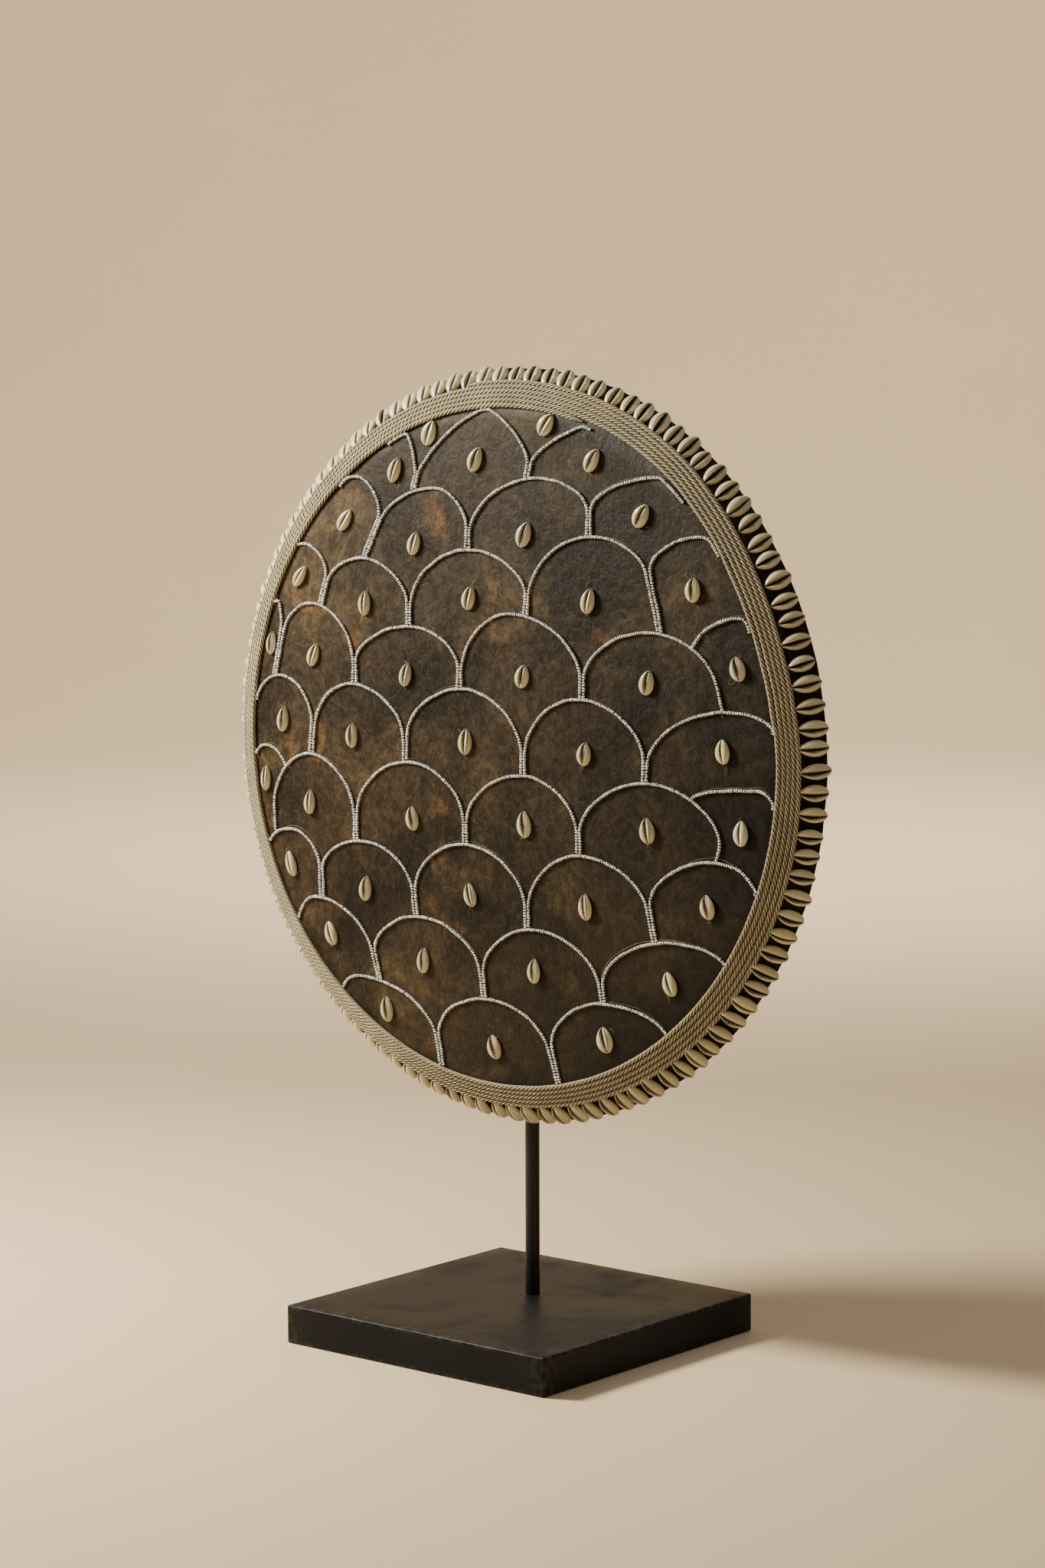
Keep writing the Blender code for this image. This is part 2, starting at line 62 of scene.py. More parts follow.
# Middle of the shield and its section, as in the part
SHIELD_X = -0.0104
SHIELD_Z = 0.4473
BOARD_BACK_Y = 0.0116
FACE_R = 0.2532
FACE_EDGE_T = 0.0201
DOME = 0.005
BEVEL_SLOPE = math.radians(22)
BEVEL_W = 0.0196
LEDGE = 0.0026
CHAMFER_SLOPE = math.radians(43)
CHAMFER_R = 0.0109
FACE_Y = BOARD_BACK_Y - FACE_EDGE_T
CHAMFER_START_R = FACE_R + BEVEL_W * math.cos(BEVEL_SLOPE)
BEVEL_DEPTH = BEVEL_W * math.sin(BEVEL_SLOPE)
CHAMFER_START_DEPTH = BEVEL_DEPTH + LEDGE
BOARD_R = CHAMFER_START_R + CHAMFER_R

# Twine on the bevel
TWINE_PITCH = 0.00366
TWINE_LAPS = 5
TWINE_START = math.radians(97.5)
TWINE_OVERLAP = math.radians(26.5)
TWINE_STEP_OVER = math.radians(60)
TWINE_INNER_SHARE = 0.3
TWINE_ROUTE_STEP = math.radians(1.5)
# How far it presses into the hide, and its least reach between two strands as a share of its radius
TWINE_SINK = 0.0001
STRAND_DEEPEST = 0.50
# Angle in degrees and how far the turns lie in from their common path there
TWINE_DRIFT = ((0, 0.0), (10, 0.0016), (18, 0.0026), (30, 0.0027), (42, 0.0016), (54, 0.0), (360, 0.0))
# Angle in degrees and how much further apart the turns lie there
TWINE_SPREAD = ((0, 0.0), (265, 0.0), (300, 0.09), (345, 0.08), (360, 0.0))

# Shells
RIM_SHELLS = 113
RIM_PHASE = 0.87
RIM_SEAT = 0.0064
LOST_SHELLS = (math.radians(181.0), math.radians(193.0))
# Angle in degrees and how far the rim shells sit out from their common seat there
RIM_DRIFT = ((0, -0.0010), (8, -0.0020), (16, -0.0028), (28, -0.0014), (40, -0.0005), (60, -0.0005),
             (90, -0.0010), (120, -0.0014), (200, -0.0014), (225, -0.0020), (290, -0.0016),
             (345, -0.0010), (360, -0.0010))
# Angle in degrees and how many degrees they are turned on the chamfer there
RIM_SKEW = ((0, 2), (12, 3), (30, 5), (75, 7), (140, 3), (200, 0), (285, 3), (310, -1), (338, 0), (360, 2))
# Angle in degrees and how many degrees they are rolled round their own length there
RIM_ROLL = ((0, -1), (30, -5), (75, -13), (140, -13), (200, -8), (285, 0), (324, 3), (360, -1))
# Angle in degrees and how broad they are there beside the usual
RIM_BREADTH = ((0, 0.97), (20, 1.0), (40, 1.05), (110, 1.08), (140, 1.14), (240, 1.10), (310, 0.92),
               (360, 0.97))
# Least distance of a face shell from the rim of the face, and the gap under every shell
SHELL_INSET = 0.0088
SHELL_LIFT = 0.0001
# Bend of the slit and its width beside the usual, for each kind of shell
KINDS = ((-0.03, 1.0), (-0.08, 0.62), (0.05, 1.15))
# Teeth along a lip, cross sections to a tooth, and plain ones before and after the teeth
TEETH = 13
TOOTH_STEPS = 2
PLAIN_STATIONS = 3

# Bead strings
LEG_GAP = 0.0011
FULLNESS = 0.5
TOP_ROW_FULLNESS = 0.3
RIM_CORNER = 0.75
SHOULDER_TURN = math.radians(60)
SAMPLES = 60
# How far a string's end tucks under the innermost turn, and how far that turn drifts before the
# string gives way
STRING_TUCK = 0.0006
STRING_GIVE = 0.0005
# Unsteadiness of a string: its bends per metre, how far they stray, and the seed that fixes them
SWAY_PER_METRE = 70
SWAY = 0.0007
SWAY_SEED = 7
# Height of a bead's middle over the face, in diameters
BEAD_SEAT = 0.46

# Loose threads: how high they arch and the number of ends at the end of the twine
THREAD_RISE = 0.0008
FRAYED_ENDS = 9

# The maker's layout by hand, in thousandths of the face's radius from its middle.
# Each row of strings has its left and right ends at the rim, the foot and top of each pair of
# legs that come down side by side, and the crown of each string.
ROWS = (
    ((-431, 894), (342, 940),
     ((-330, 742, -319, 798), (109, 794, 117, 837)),
     ((-359, 924), (-47, 995), (332, 944))),
    ((-629, 767), (677, 737),
     ((-525, 557, -470, 664), (-113, 592, -111, 636), (342, 634, 341, 703)),
     ((-559, 796), (-249, 763), (150, 795), (585, 798))),
    ((-827, 573), (800, 583),
     ((-709, 407, -685, 482), (-344, 355, -344, 411), (111, 407, 115, 454), (598, 363, 557, 529)),
     ((-782, 590), (-537, 550), (-111, 583), (348, 629), (735, 633))),
    ((-930, 383), (906, 372),
     ((-908, 178, -877, 316), (-567, 172, -567, 237), (-142, 178, -140, 229), (322, 162, 322, 217),
      (816, 162, 794, 229)),
     ((-893, 411), (-750, 408), (-336, 350), (55, 399), (561, 361), (877, 410))),
    ((-994, 93), (997, 93),
     ((-752, -43, -744, 32), (-359, -47, -359, 12), (103, -67, 103, -12), (547, -67, 551, -12)),
     ((-881, 182), (-581, 168), (-130, 172), (308, 160), (845, 147))),
    ((-997, -73), (994, -115),
     ((-912, -296, -916, -229), (-567, -292, -567, -229), (-122, -280, -122, -225),
      (308, -288, 308, -229), (798, -276, 806, -245)),
     ((-944, -39), (-762, -55), (-340, -57), (103, -73), (565, -69), (932, -69))),
    ((-945, -350), (936, -362),
     ((-715, -490, -717, -403), (-324, -513, -330, -450), (113, -517, 113, -462), (579, -517, 559, -427)),
     ((-845, -294), (-533, -310), (-122, -290), (316, -294), (790, -280))),
    ((-823, -586), (825, -567),
     ((-480, -719, -500, -648), (-59, -739, -65, -675), (391, -713, 385, -671)),
     ((-739, -498), (-308, -523), (138, -525), (640, -521))),
    ((-639, -780), (622, -796),
     ((-233, -964, -249, -877), (219, -972, 192, -877)),
     ((-553, -727), (-47, -748), (395, -719))),
)
# Strings that start on their neighbour instead of beside it: row, place in the row, and where
SHOULDERS = {(3, 5): 714, (5, 0): -866, (5, 5): 715}
# Middle of each shell on the face, and its lean to the right in degrees
SHELLS = (
    (-271, 928, 22), (178, 949, 38), (-405, 816, 22), (-87, 848, 25), (350, 846, 33), (-611, 664, 37),
    (-324, 598, 18), (103, 631, 22), (529, 690, 33), (-799, 489, 38), (-523, 415, 5), (-105, 441, 14),
    (344, 444, 14), (714, 485, 2), (-926, 281, 10), (-741, 250, 22), (-355, 205, 15), (101, 218, 14),
    (556, 218, 12), (868, 269, -16), (-874, 46, 9), (-578, 10, 2), (-118, 16, 5), (332, 3, 8),
    (820, 35, -5), (-952, -141, 3), (-760, -205, 6), (-332, -227, -8), (107, -216, -5), (558, -205, -7),
    (882, -191, 2), (-846, -403, -17), (-528, -455, 7), (-105, -441, -13), (333, -442, -5),
    (767, -408, -12), (-680, -607, -19), (-296, -656, 4), (138, -648, 2), (632, -640, -19),
    (-451, -820, -6), (-22, -891, -17), (395, -826, -15),
)

# Rod: rounding of its top edge and how far it is sunk in the foot
ROD_EDGE = 0.0008
ROD_SUNK = 0.004

# Across a cowrie resting on its cut back: shares of its half width and of its height on the
# left lip and on the right one
LEFT_LIP = ((-0.70, 0.00), (-0.96, 0.20), (-0.99, 0.46), (-0.88, 0.70), (-0.68, 0.87), (-0.50, 0.94))
RIGHT_LIP = ((0.20, 1.00), (0.48, 0.96), (0.74, 0.82), (0.92, 0.60), (0.99, 0.38), (0.94, 0.17), (0.70, 0.00))
# The slit between them: distance from its middle in half widths of the slit, share of the height,
# how far a tooth reaches in, and its painted shade in a notch and on a tooth
SLIT = ((-2.3, 0.95, 0.2, 0.30, 0.0), (-1.3, 0.88, 0.6, 0.90, 0.05), (-0.95, 0.55, 0.2, 1.0, 0.8),
        (0.0, 0.28, 0.0, 1.0, 1.0), (0.95, 0.58, -0.2, 1.0, 0.8), (1.3, 0.92, -0.55, 0.90, 0.05),
        (2.2, 0.99, -0.2, 0.38, 0.0))

# Colours that aren't settings
FIBRE_PALE = (0.125, 0.082, 0.040)
FIBRE_GAP = (0.006, 0.005, 0.004)
GRAIN_PALE = (0.24, 0.19, 0.12)
GRAIN_DARK = (0.005, 0.004, 0.003)
SCUFF = (0.26, 0.21, 0.14)
WOOD_DARK = (0.030, 0.018, 0.010)
WOOD_BROWN = (0.085, 0.052, 0.030)
WOOD_PORE = (0.020, 0.012, 0.008)
TWINE_HAIR = (0.74, 0.66, 0.47)
THREAD_PALE = (0.34, 0.27, 0.17)
THREAD_DULL = (0.16, 0.12, 0.075)
SHELL_CLOUD = (0.60, 0.54, 0.40)
SHELL_GREY = (0.40, 0.42, 0.38)
SHELL_AMBER = (0.60, 0.40, 0.15)
SHELL_UNDERSIDE = (0.32, 0.23, 0.12)
# Painted shade at the slit's edges and deep inside it
SLIT_EDGE_SHADE = (0.40, 0.31, 0.18)
SLIT_SHADE = (0.012, 0.008, 0.005)
BEAD_DIRT = (0.42, 0.38, 0.31)
# Painted shade on the bead ends
BEAD_END_SHADE = (0.05, 0.04, 0.03)
PAINT_SCRATCH = (0.10, 0.09, 0.08)
PAINT_RUBBED = (0.09, 0.075, 0.06)
STEEL_LINE = (0.09, 0.08, 0.075)
ZINC_PALE = (0.50, 0.49, 0.46)
ZINC_DULL = (0.28, 0.26, 0.24)

# Lights: place, what it points at, its width and its colour
KEY_LIGHT = ((-0.92, -0.56, 1.14), (-0.16, 0.0, 0.54), 0.36, (1.0, 0.935, 0.79))
WALL_LIGHT = ((-1.2, 1.8, 2.8), (-4.0, 5.4, 1.0), 1.6, (1.0, 0.93, 0.80))
AIR_COLOUR = (0.88, 0.94, 1.0, 1.0)

# Camera of the photograph
CAMERA_AT = Vector((1.7057, -2.0485, 0.6807))
CAMERA_YAW = math.radians(39.73)
CAMERA_PITCH = math.radians(5.57)
CAMERA_ROLL = math.radians(-0.16)
FOCAL_PIXELS = 4686.16
IMAGE_HEIGHT = 2048


# Face plane helpers
def face_depth(radius):
    """Depth of the smooth dome at a distance from the middle."""
    share = min(radius / FACE_R, 1.0)
    return -DOME * (1 - share ** 2)


def on_shield(x, z, depth):
    return Vector((SHIELD_X + x, FACE_Y + depth, SHIELD_Z + z))


def on_ring(angle, radius, depth):
    return on_shield(radius * math.cos(angle), radius * math.sin(angle), depth)


def smooth(t):
    t = min(max(t, 0.0), 1.0)
    return t * t * (3 - 2 * t)


def laid(x, z):
    """A place of the maker's layout in metres."""
    return Vector((x * FACE_R / 1000, z * FACE_R / 1000))


def bezier(points, share):
    """Point of a curve led by two or more points."""
    while len(points) > 1:
        points = [a.lerp(b, share) for a, b in zip(points, points[1:])]
    return points[0]


# Routes of the bead strings
def string_limit(bead):
    """Largest radius of a string's middle, beside the innermost turn of twine."""
    return FACE_R + TWINE_PITCH * (TWINE_INNER_SHARE - 0.5) - bead / 2 + STRING_TUCK


def height_on(routes, x, bead):
    """Height of the uppermost string at an x, or of the rim below."""
    height = -math.sqrt(max(string_limit(bead) ** 2 - x ** 2, 0.0)) - bead
    for route in routes:
        for a, b in zip(route, route[1:]):
            low, high = sorted((a, b), key=lambda point: point[0])
            if low[0] <= x < high[0]:
                height = max(height, low[1] + (high[1] - low[1]) * (x - low[0]) / (high[0] - low[0]))
    return height


def half_string(row, i, side, routes, bead):
    """Points of a string from its crown to its end on its left (-1) or right (1)."""
    left_end, right_end, legs, crowns = ROWS[row]
    crown = laid(*crowns[i])
    if i == (0 if side < 0 else len(legs)):
        end = laid(*(left_end if side < 0 else right_end))
        corner = Vector((crown[0] + (end[0] - crown[0]) * RIM_CORNER, crown[1]))
        return [bezier((crown, corner, end), n / SAMPLES) for n in range(SAMPLES + 1)]
    if (row, i) in SHOULDERS:
        top = laid(SHOULDERS[row, i], 0)
        top[1] = height_on([routes[row, i + side]], top[0], bead) + bead
        ahead = Vector((-side * math.cos(SHOULDER_TURN), math.sin(SHOULDER_TURN)))
    else:
        foot_x, foot_z, top_x, top_z = legs[i - 1 if side < 0 else i]
        aside = 0.0 if (row, i + side) in SHOULDERS else -side * (bead + LEG_GAP) / 2
        foot = laid(foot_x, foot_z) + Vector((aside, 0.0))
        top = laid(top_x, top_z) + Vector((aside, 0.0))
        ahead = (top - foot).normalized()
    fullness = TOP_ROW_FULLNESS if row == 0 else FULLNESS
    lead = top + ahead * (crown[1] - top[1]) * fullness
    over = Vector((crown[0] + (top[0] - crown[0]) * fullness, crown[1]))
    points = [bezier((crown, over, lead, top), n / SAMPLES) for n in range(SAMPLES + 1)]
    if (row, i) not in SHOULDERS:
        below = [route for (other, _), route in routes.items() if other == row + 1]
        foot[1] = height_on(below, foot[0], bead) + bead
        points += [top.lerp(foot, n / SAMPLES) for n in range(1, SAMPLES + 1)]
    return points


def string_routes(bead):
    """Route of every string from left to right, kept inside the rim and a little unsteady."""
    noise.seed_set(SWAY_SEED)
    routes = {}
    limit = string_limit(bead)
    order = [(row, i) for row in reversed(range(len(ROWS))) for i in range(len(ROWS[row][3]))]
    for row, i in sorted(order, key=lambda key: (-key[0], key in SHOULDERS)):
        points = half_string(row, i, -1, routes, bead)[::-1] + half_string(row, i, 1, routes, bead)[1:]
        if i == 0:
            while points[0].length > limit and points[1].length > limit:
                points.pop(0)
        route = []
        for point in points:
            sway = noise.noise_vector(Vector((point[0] * SWAY_PER_METRE, point[1] * SWAY_PER_METRE,
                                              row * 3.1 + i)))
            place = point + Vector((sway[0], sway[1])) * SWAY
            angle = math.atan2(place[1], place[0])
            reach = limit - max(eased(TWINE_DRIFT, angle) - STRING_GIVE, 0.0)
            route.append(place * min(1.0, reach / max(place.length, 1e-9)))
        routes[row, i] = route
    return routes


# Twine and rim helpers
def eased(table, angle):
    """Value at an angle of a table of degrees and values, eased between its places."""
    degrees = math.degrees(angle) % 360
    for (a, first), (b, second) in zip(table, table[1:]):
        if a <= degrees <= b:
            return first + (second - first) * smooth((degrees - a) / (b - a))
    return 0.0


def on_bevel(across, above):
    """Radius and depth beside the bevel, or beside the face when across is less than nothing."""
    if across < 0:
        return FACE_R + across, -above
    return (FACE_R + across * math.cos(BEVEL_SLOPE) + above * math.sin(BEVEL_SLOPE),
            across * math.sin(BEVEL_SLOPE) - above * math.cos(BEVEL_SLOPE))


def twine_across(turned):
    """How far across the bevel the twine lies after turning by an angle from its outer end."""
    lap, rest = divmod(turned + 1e-9, 2 * math.pi)
    step = smooth((rest - TWINE_OVERLAP) / TWINE_STEP_OVER)
    return TWINE_PITCH * (TWINE_INNER_SHARE + TWINE_LAPS - lap - step)


# Node helpers
def give(tree, socket, value):
    """Set an input, or plug another node's output into it."""
    if isinstance(value, bpy.types.NodeSocket):
        tree.links.new(value, socket)
    else:
        socket.default_value = value


def add_node(tree, kind, **values):
    """A node with its properties set by name and its inputs given by name."""
    item = tree.nodes.new(kind)
    for name, value in values.items():
        label = name.replace("_", " ")
        sockets = [socket for socket in item.inputs if socket.name == label and socket.enabled]
        if sockets:
            give(tree, sockets[0], value)
        else:
            setattr(item, name, value)
    return item


def math_node(tree, operation, first, second):
    """Result of a sum on two values or sockets."""
    item = add_node(tree, "ShaderNodeMath", operation=operation)
    give(tree, item.inputs[0], first)
    give(tree, item.inputs[1], second)
    return item.outputs[0]


def ramp(tree, value, low, high, to_low=0.0, to_high=1.0):
    """A value eased from one range to another and held at its ends."""
    return add_node(tree, "ShaderNodeMapRange", interpolation_type="SMOOTHSTEP", Value=value,
                    From_Min=low, From_Max=high, To_Min=to_low, To_Max=to_high).outputs[0]


def blend(tree, share, first, second):
    """Mix of two colours or colour sockets."""
    item = add_node(tree, "ShaderNodeMix", data_type="RGBA")
    give(tree, item.inputs[0], share)
    for socket, colour in ((item.inputs[6], first), (item.inputs[7], second)):
        give(tree, socket, colour if isinstance(colour, bpy.types.NodeSocket) else (*colour, 1.0))
    return item.outputs[2]


def tinted(tree, colour, tint, mask, share):
    """A colour with a share of a tint where a mask lies."""
    return blend(tree, math_node(tree, "MULTIPLY", mask, share), colour, tint)


def shaded(colour, share):
    return tuple(part * share for part in colour)


def new_tree(name, kind, inputs, outputs):
    """A node group with named sockets, the sockets that feed it and the ones that it ends in."""
    tree = bpy.data.node_groups.new(name, kind)
    for in_out, sockets in (("INPUT", inputs), ("OUTPUT", outputs)):
        for label, socket_type, *default in sockets:
            socket = tree.interface.new_socket(label, in_out=in_out, socket_type=socket_type)
            if default:
                socket.default_value = default[0]
    return tree, tree.nodes.new("NodeGroupInput").outputs, tree.nodes.new("NodeGroupOutput").inputs


# Shader groups
def mottle_group():
    """Soft patches, as a mask."""
    group = bpy.data.node_groups.get("Mottle")
    if group:
        return group
    group, ins, outs = new_tree(
        "Mottle", "ShaderNodeTree",
        (("Vector", "NodeSocketVector"), ("Patches per metre", "NodeSocketFloat", 20.0),
         ("Low", "NodeSocketFloat", 0.4), ("High", "NodeSocketFloat", 0.65)),
        (("Mask", "NodeSocketFloat"),))
    texture = add_node(group, "ShaderNodeTexNoise", Vector=ins["Vector"], Scale=ins["Patches per metre"],
                       Detail=6.0, Roughness=0.62, Distortion=0.5)
    give(group, outs["Mask"], ramp(group, texture.outputs[0], ins["Low"], ins["High"]))
    return group


def streak_group():
    """Fine fibres drawn out along one way, as a value round a half."""
    group = bpy.data.node_groups.get("Streaks")
    if group:
        return group
    group, ins, outs = new_tree(
        "Streaks", "ShaderNodeTree",
        (("Vector", "NodeSocketVector"), ("Stretch", "NodeSocketVector", (1.0, 1.0, 0.1)),
         ("Fibres per metre", "NodeSocketFloat", 900.0)),
        (("Value", "NodeSocketFloat"),))
    scale = add_node(group, "ShaderNodeVectorMath", operation="MULTIPLY")
    give(group, scale.inputs[0], ins["Vector"])
    give(group, scale.inputs[1], ins["Stretch"])
    texture = add_node(group, "ShaderNodeTexNoise", Vector=scale.outputs[0], Scale=ins["Fibres per metre"],
                       Detail=4.0, Roughness=0.6, Distortion=0.3)
    give(group, outs["Value"], texture.outputs[0])
    return group


def swirl_group():
    """Coordinates bent by a slow noise."""
    group = bpy.data.node_groups.get("Swirl")
    if group:
        return group
    group, ins, outs = new_tree(
        "Swirl", "ShaderNodeTree",
        (("Vector", "NodeSocketVector"), ("Bends per metre", "NodeSocketFloat", 7.0),
         ("Amount", "NodeSocketFloat", 0.04)),
        (("Vector", "NodeSocketVector"),))
    texture = add_node(group, "ShaderNodeTexNoise", Vector=ins["Vector"], Scale=ins["Bends per metre"],
                       Detail=3.0)
    scaled = add_node(group, "ShaderNodeVectorMath", operation="SCALE", Vector=texture.outputs["Color"],
                      Scale=ins["Amount"])
    moved = add_node(group, "ShaderNodeVectorMath", operation="ADD")
    give(group, moved.inputs[0], ins["Vector"])
    give(group, moved.inputs[1], scaled.outputs[0])
    give(group, outs["Vector"], moved.outputs[0])
    return group


def scratch_group():
    """Thin scattered scratches, as a mask."""
    group = bpy.data.node_groups.get("Scratches")
    if group:
        return group
    group, ins, outs = new_tree(
        "Scratches", "ShaderNodeTree",
        (("Vector", "NodeSocketVector"), ("Scratches per metre", "NodeSocketFloat", 25.0),
         ("Width", "NodeSocketFloat", 0.012)),
        (("Mask", "NodeSocketFloat"),))
    bend = add_node(group, "ShaderNodeTexNoise", Vector=ins["Vector"], Scale=14.0, Detail=3.0)
    warped = add_node(group, "ShaderNodeVectorMath", operation="MULTIPLY_ADD")
    give(group, warped.inputs[0], bend.outputs["Color"])
    give(group, warped.inputs[1], (0.05, 0.05, 0.05))
    give(group, warped.inputs[2], ins["Vector"])
    cells = add_node(group, "ShaderNodeTexVoronoi", feature="DISTANCE_TO_EDGE", Vector=warped.outputs[0],
                     Scale=ins["Scratches per metre"])
    line = add_node(group, "ShaderNodeMapRange", Value=cells.outputs["Distance"], From_Max=ins["Width"],
                    To_Min=1.0, To_Max=0.0)
    broken = add_node(group, "ShaderNodeTexNoise", Vector=ins["Vector"], Scale=22.0, Detail=2.0)
    kept = ramp(group, broken.outputs[0], 0.56, 0.68)
    give(group, outs["Mask"], math_node(group, "MULTIPLY", line.outputs[0], kept))
    return group


def patches(tree, vector, per_metre, low, high):
    return add_node(tree, "ShaderNodeGroup", node_tree=mottle_group(), Vector=vector,
                    Patches_per_metre=per_metre, Low=low, High=high).outputs[0]


def streaks(tree, vector, stretch, per_metre):
    return add_node(tree, "ShaderNodeGroup", node_tree=streak_group(), Vector=vector, Stretch=stretch,
                    Fibres_per_metre=per_metre).outputs[0]


def scratches(tree, vector, per_metre, width):
    return add_node(tree, "ShaderNodeGroup", node_tree=scratch_group(), Vector=vector,
                    Scratches_per_metre=per_metre, Width=width).outputs[0]


def speckle(tree, vector, per_metre, detail, roughness=0.5):
    return add_node(tree, "ShaderNodeTexNoise", Vector=vector, Scale=per_metre, Detail=detail,
                    Roughness=roughness).outputs[0]


def attribute(tree, name):
    return add_node(tree, "ShaderNodeAttribute", attribute_name=name).outputs["Fac"]


def new_material(name, roughness):
    """A Principled material, its tree, its shader's inputs and its Object coordinates."""
    material = bpy.data.materials.new(name)
    material.use_nodes = True
    tree = material.node_tree
    shader = tree.nodes["Principled BSDF"].inputs
    shader["Roughness"].default_value = roughness
    place = add_node(tree, "ShaderNodeTexCoord").outputs["Object"]
    return material, tree, shader, place


def bump(tree, shader, height, strength, distance):
    item = add_node(tree, "ShaderNodeBump", Strength=strength, Distance=distance, Height=height)
    give(tree, shader["Normal"], item.outputs[0])


# Materials
def hide_material(settings):
    """Old dark hide: brown and ochre mottling, swirling upright fibres, pale grain and scuffs, with painted
    shade towards the lower right.
    """
    material, tree, shader, place = new_material("mottled_hide", 0.55)
    bent = add_node(tree, "ShaderNodeGroup", node_tree=swirl_group(), Vector=place, Bends_per_metre=6.0,
                    Amount=0.06).outputs[0]
    large = patches(tree, place, 8.0, 0.40, 0.62)
    middle = patches(tree, bent, 34.0, 0.42, 0.66)
    small = patches(tree, bent, 150.0, 0.36, 0.68)
    ochre = patches(tree, bent, 15.0, 0.46, 0.66)
    rust = patches(tree, place, 19.0, 0.57, 0.72)
    fibres = streaks(tree, bent, (1.0, 1.0, 0.20), 1000.0)
    grain = speckle(tree, place, 1100.0, 4.0, 0.7)
    scuffs = scratches(tree, place, 16.0, 0.008)
    dark = settings.hide_dark
    colour = blend(tree, large, dark, settings.hide_brown)
    cloud = math_node(tree, "MULTIPLY", ochre, ramp(tree, middle, 0.0, 1.0, 0.35, 1.0))
    colour = tinted(tree, colour, settings.hide_ochre, cloud, 0.62)
    colour = tinted(tree, colour, settings.hide_rust, math_node(tree, "MULTIPLY", rust, middle), 0.85)
    colour = blend(tree, ramp(tree, small, 0.0, 1.0, 0.45, 0.0), colour, shaded(dark, 0.5))
    colour = blend(tree, ramp(tree, fibres, 0.52, 0.74, 0.0, 0.36), colour, FIBRE_PALE)
    colour = blend(tree, ramp(tree, fibres, 0.48, 0.30, 0.0, 0.65), colour, FIBRE_GAP)
    colour = blend(tree, ramp(tree, grain, 0.60, 0.74, 0.0, 0.55), colour, GRAIN_PALE)
    colour = blend(tree, ramp(tree, grain, 0.46, 0.32, 0.0, 0.7), colour, GRAIN_DARK)
    colour = tinted(tree, colour, SCUFF, scuffs, 0.14)
    # Painted shade: darker towards the lower right, away from the key light
    painted_falloff = add_node(tree, "ShaderNodeVectorMath", operation="DOT_PRODUCT")
    give(tree, painted_falloff.inputs[0], place)
    give(tree, painted_falloff.inputs[1], (0.9, 0.0, -0.44))
    shade = ramp(tree, painted_falloff.outputs["Value"], -0.22, 0.12, 0.0, 0.88)
    give(tree, shader["Base Color"], blend(tree, shade, colour, shaded(dark, 0.45)))
    give(tree, shader["Roughness"], ramp(tree, small, 0.0, 1.0, 0.42, 0.60))
    shader["Specular IOR Level"].default_value = 0.14
    height = math_node(tree, "ADD", math_node(tree, "MULTIPLY", grain, 0.5), fibres)
    height = math_node(tree, "ADD", height, math_node(tree, "MULTIPLY", small, 0.7))
    bump(tree, shader, height, 0.45, 0.0005)
    return material


def board_back_material(settings):
    """Plain dark-stained wood with its grain upright."""
    material, tree, shader, place = new_material("stained_board", 0.62)
    grain = streaks(tree, place, (1.0, 1.0, 0.05), 160.0)
    fine = streaks(tree, place, (1.0, 1.0, 0.03), 900.0)
    stain = patches(tree, place, 7.0, 0.3, 0.7)
    colour = blend(tree, ramp(tree, grain, 0.35, 0.65), WOOD_DARK, WOOD_BROWN)
    colour = tinted(tree, colour, WOOD_PORE, fine, 0.5)
    give(tree, shader["Base Color"], tinted(tree, colour, settings.hide_dark, stain, 0.5))
    give(tree, shader["Roughness"], ramp(tree, grain, 0.3, 0.7, 0.50, 0.72))
    bump(tree, shader, math_node(tree, "ADD", grain, fine), 0.4, 0.0005)
    return material


def twine_material(settings):
    """Dry plant fibre with hairs along its strands and painted shade in the creases between them."""
    material, tree, shader, place = new_material("plant_twine", 0.85)
    along = add_node(tree, "ShaderNodeCombineXYZ", X=attribute(tree, "run"), Y=attribute(tree, "side"),
                     Z=attribute(tree, "front")).outputs[0]
    hairs = streaks(tree, along, (0.12, 1.0, 1.0), 2600.0)
    light = settings.twine_light
    colour = blend(tree, patches(tree, place, 55.0, 0.3, 0.7), light, shaded(light, 0.80))
    colour = blend(tree, ramp(tree, hairs, 0.50, 0.72, 0.0, 0.45), colour, TWINE_HAIR)
    colour = blend(tree, ramp(tree, hairs, 0.48, 0.30, 0.0, 0.55), colour, shaded(light, 0.42))
    # Painted shade in the creases between the strands, where the outline dips
    gap = ramp(tree, attribute(tree, "crest"), 0.97, 0.62, 0.0, 0.96)
    give(tree, shader["Base Color"], blend(tree, gap, colour, settings.twine_crease_shade))
    shader["Specular IOR Level"].default_value = 0.25
    bump(tree, shader, hairs, 0.8, 0.0004)
    return material


def thread_material():
    """Pale dry thread."""
    material, tree, shader, place = new_material("pale_thread", 0.85)
    tone = patches(tree, place, 120.0, 0.35, 0.65)
    give(tree, shader["Base Color"], blend(tree, tone, THREAD_PALE, THREAD_DULL))
    shader["Specular IOR Level"].default_value = 0.2
    return material


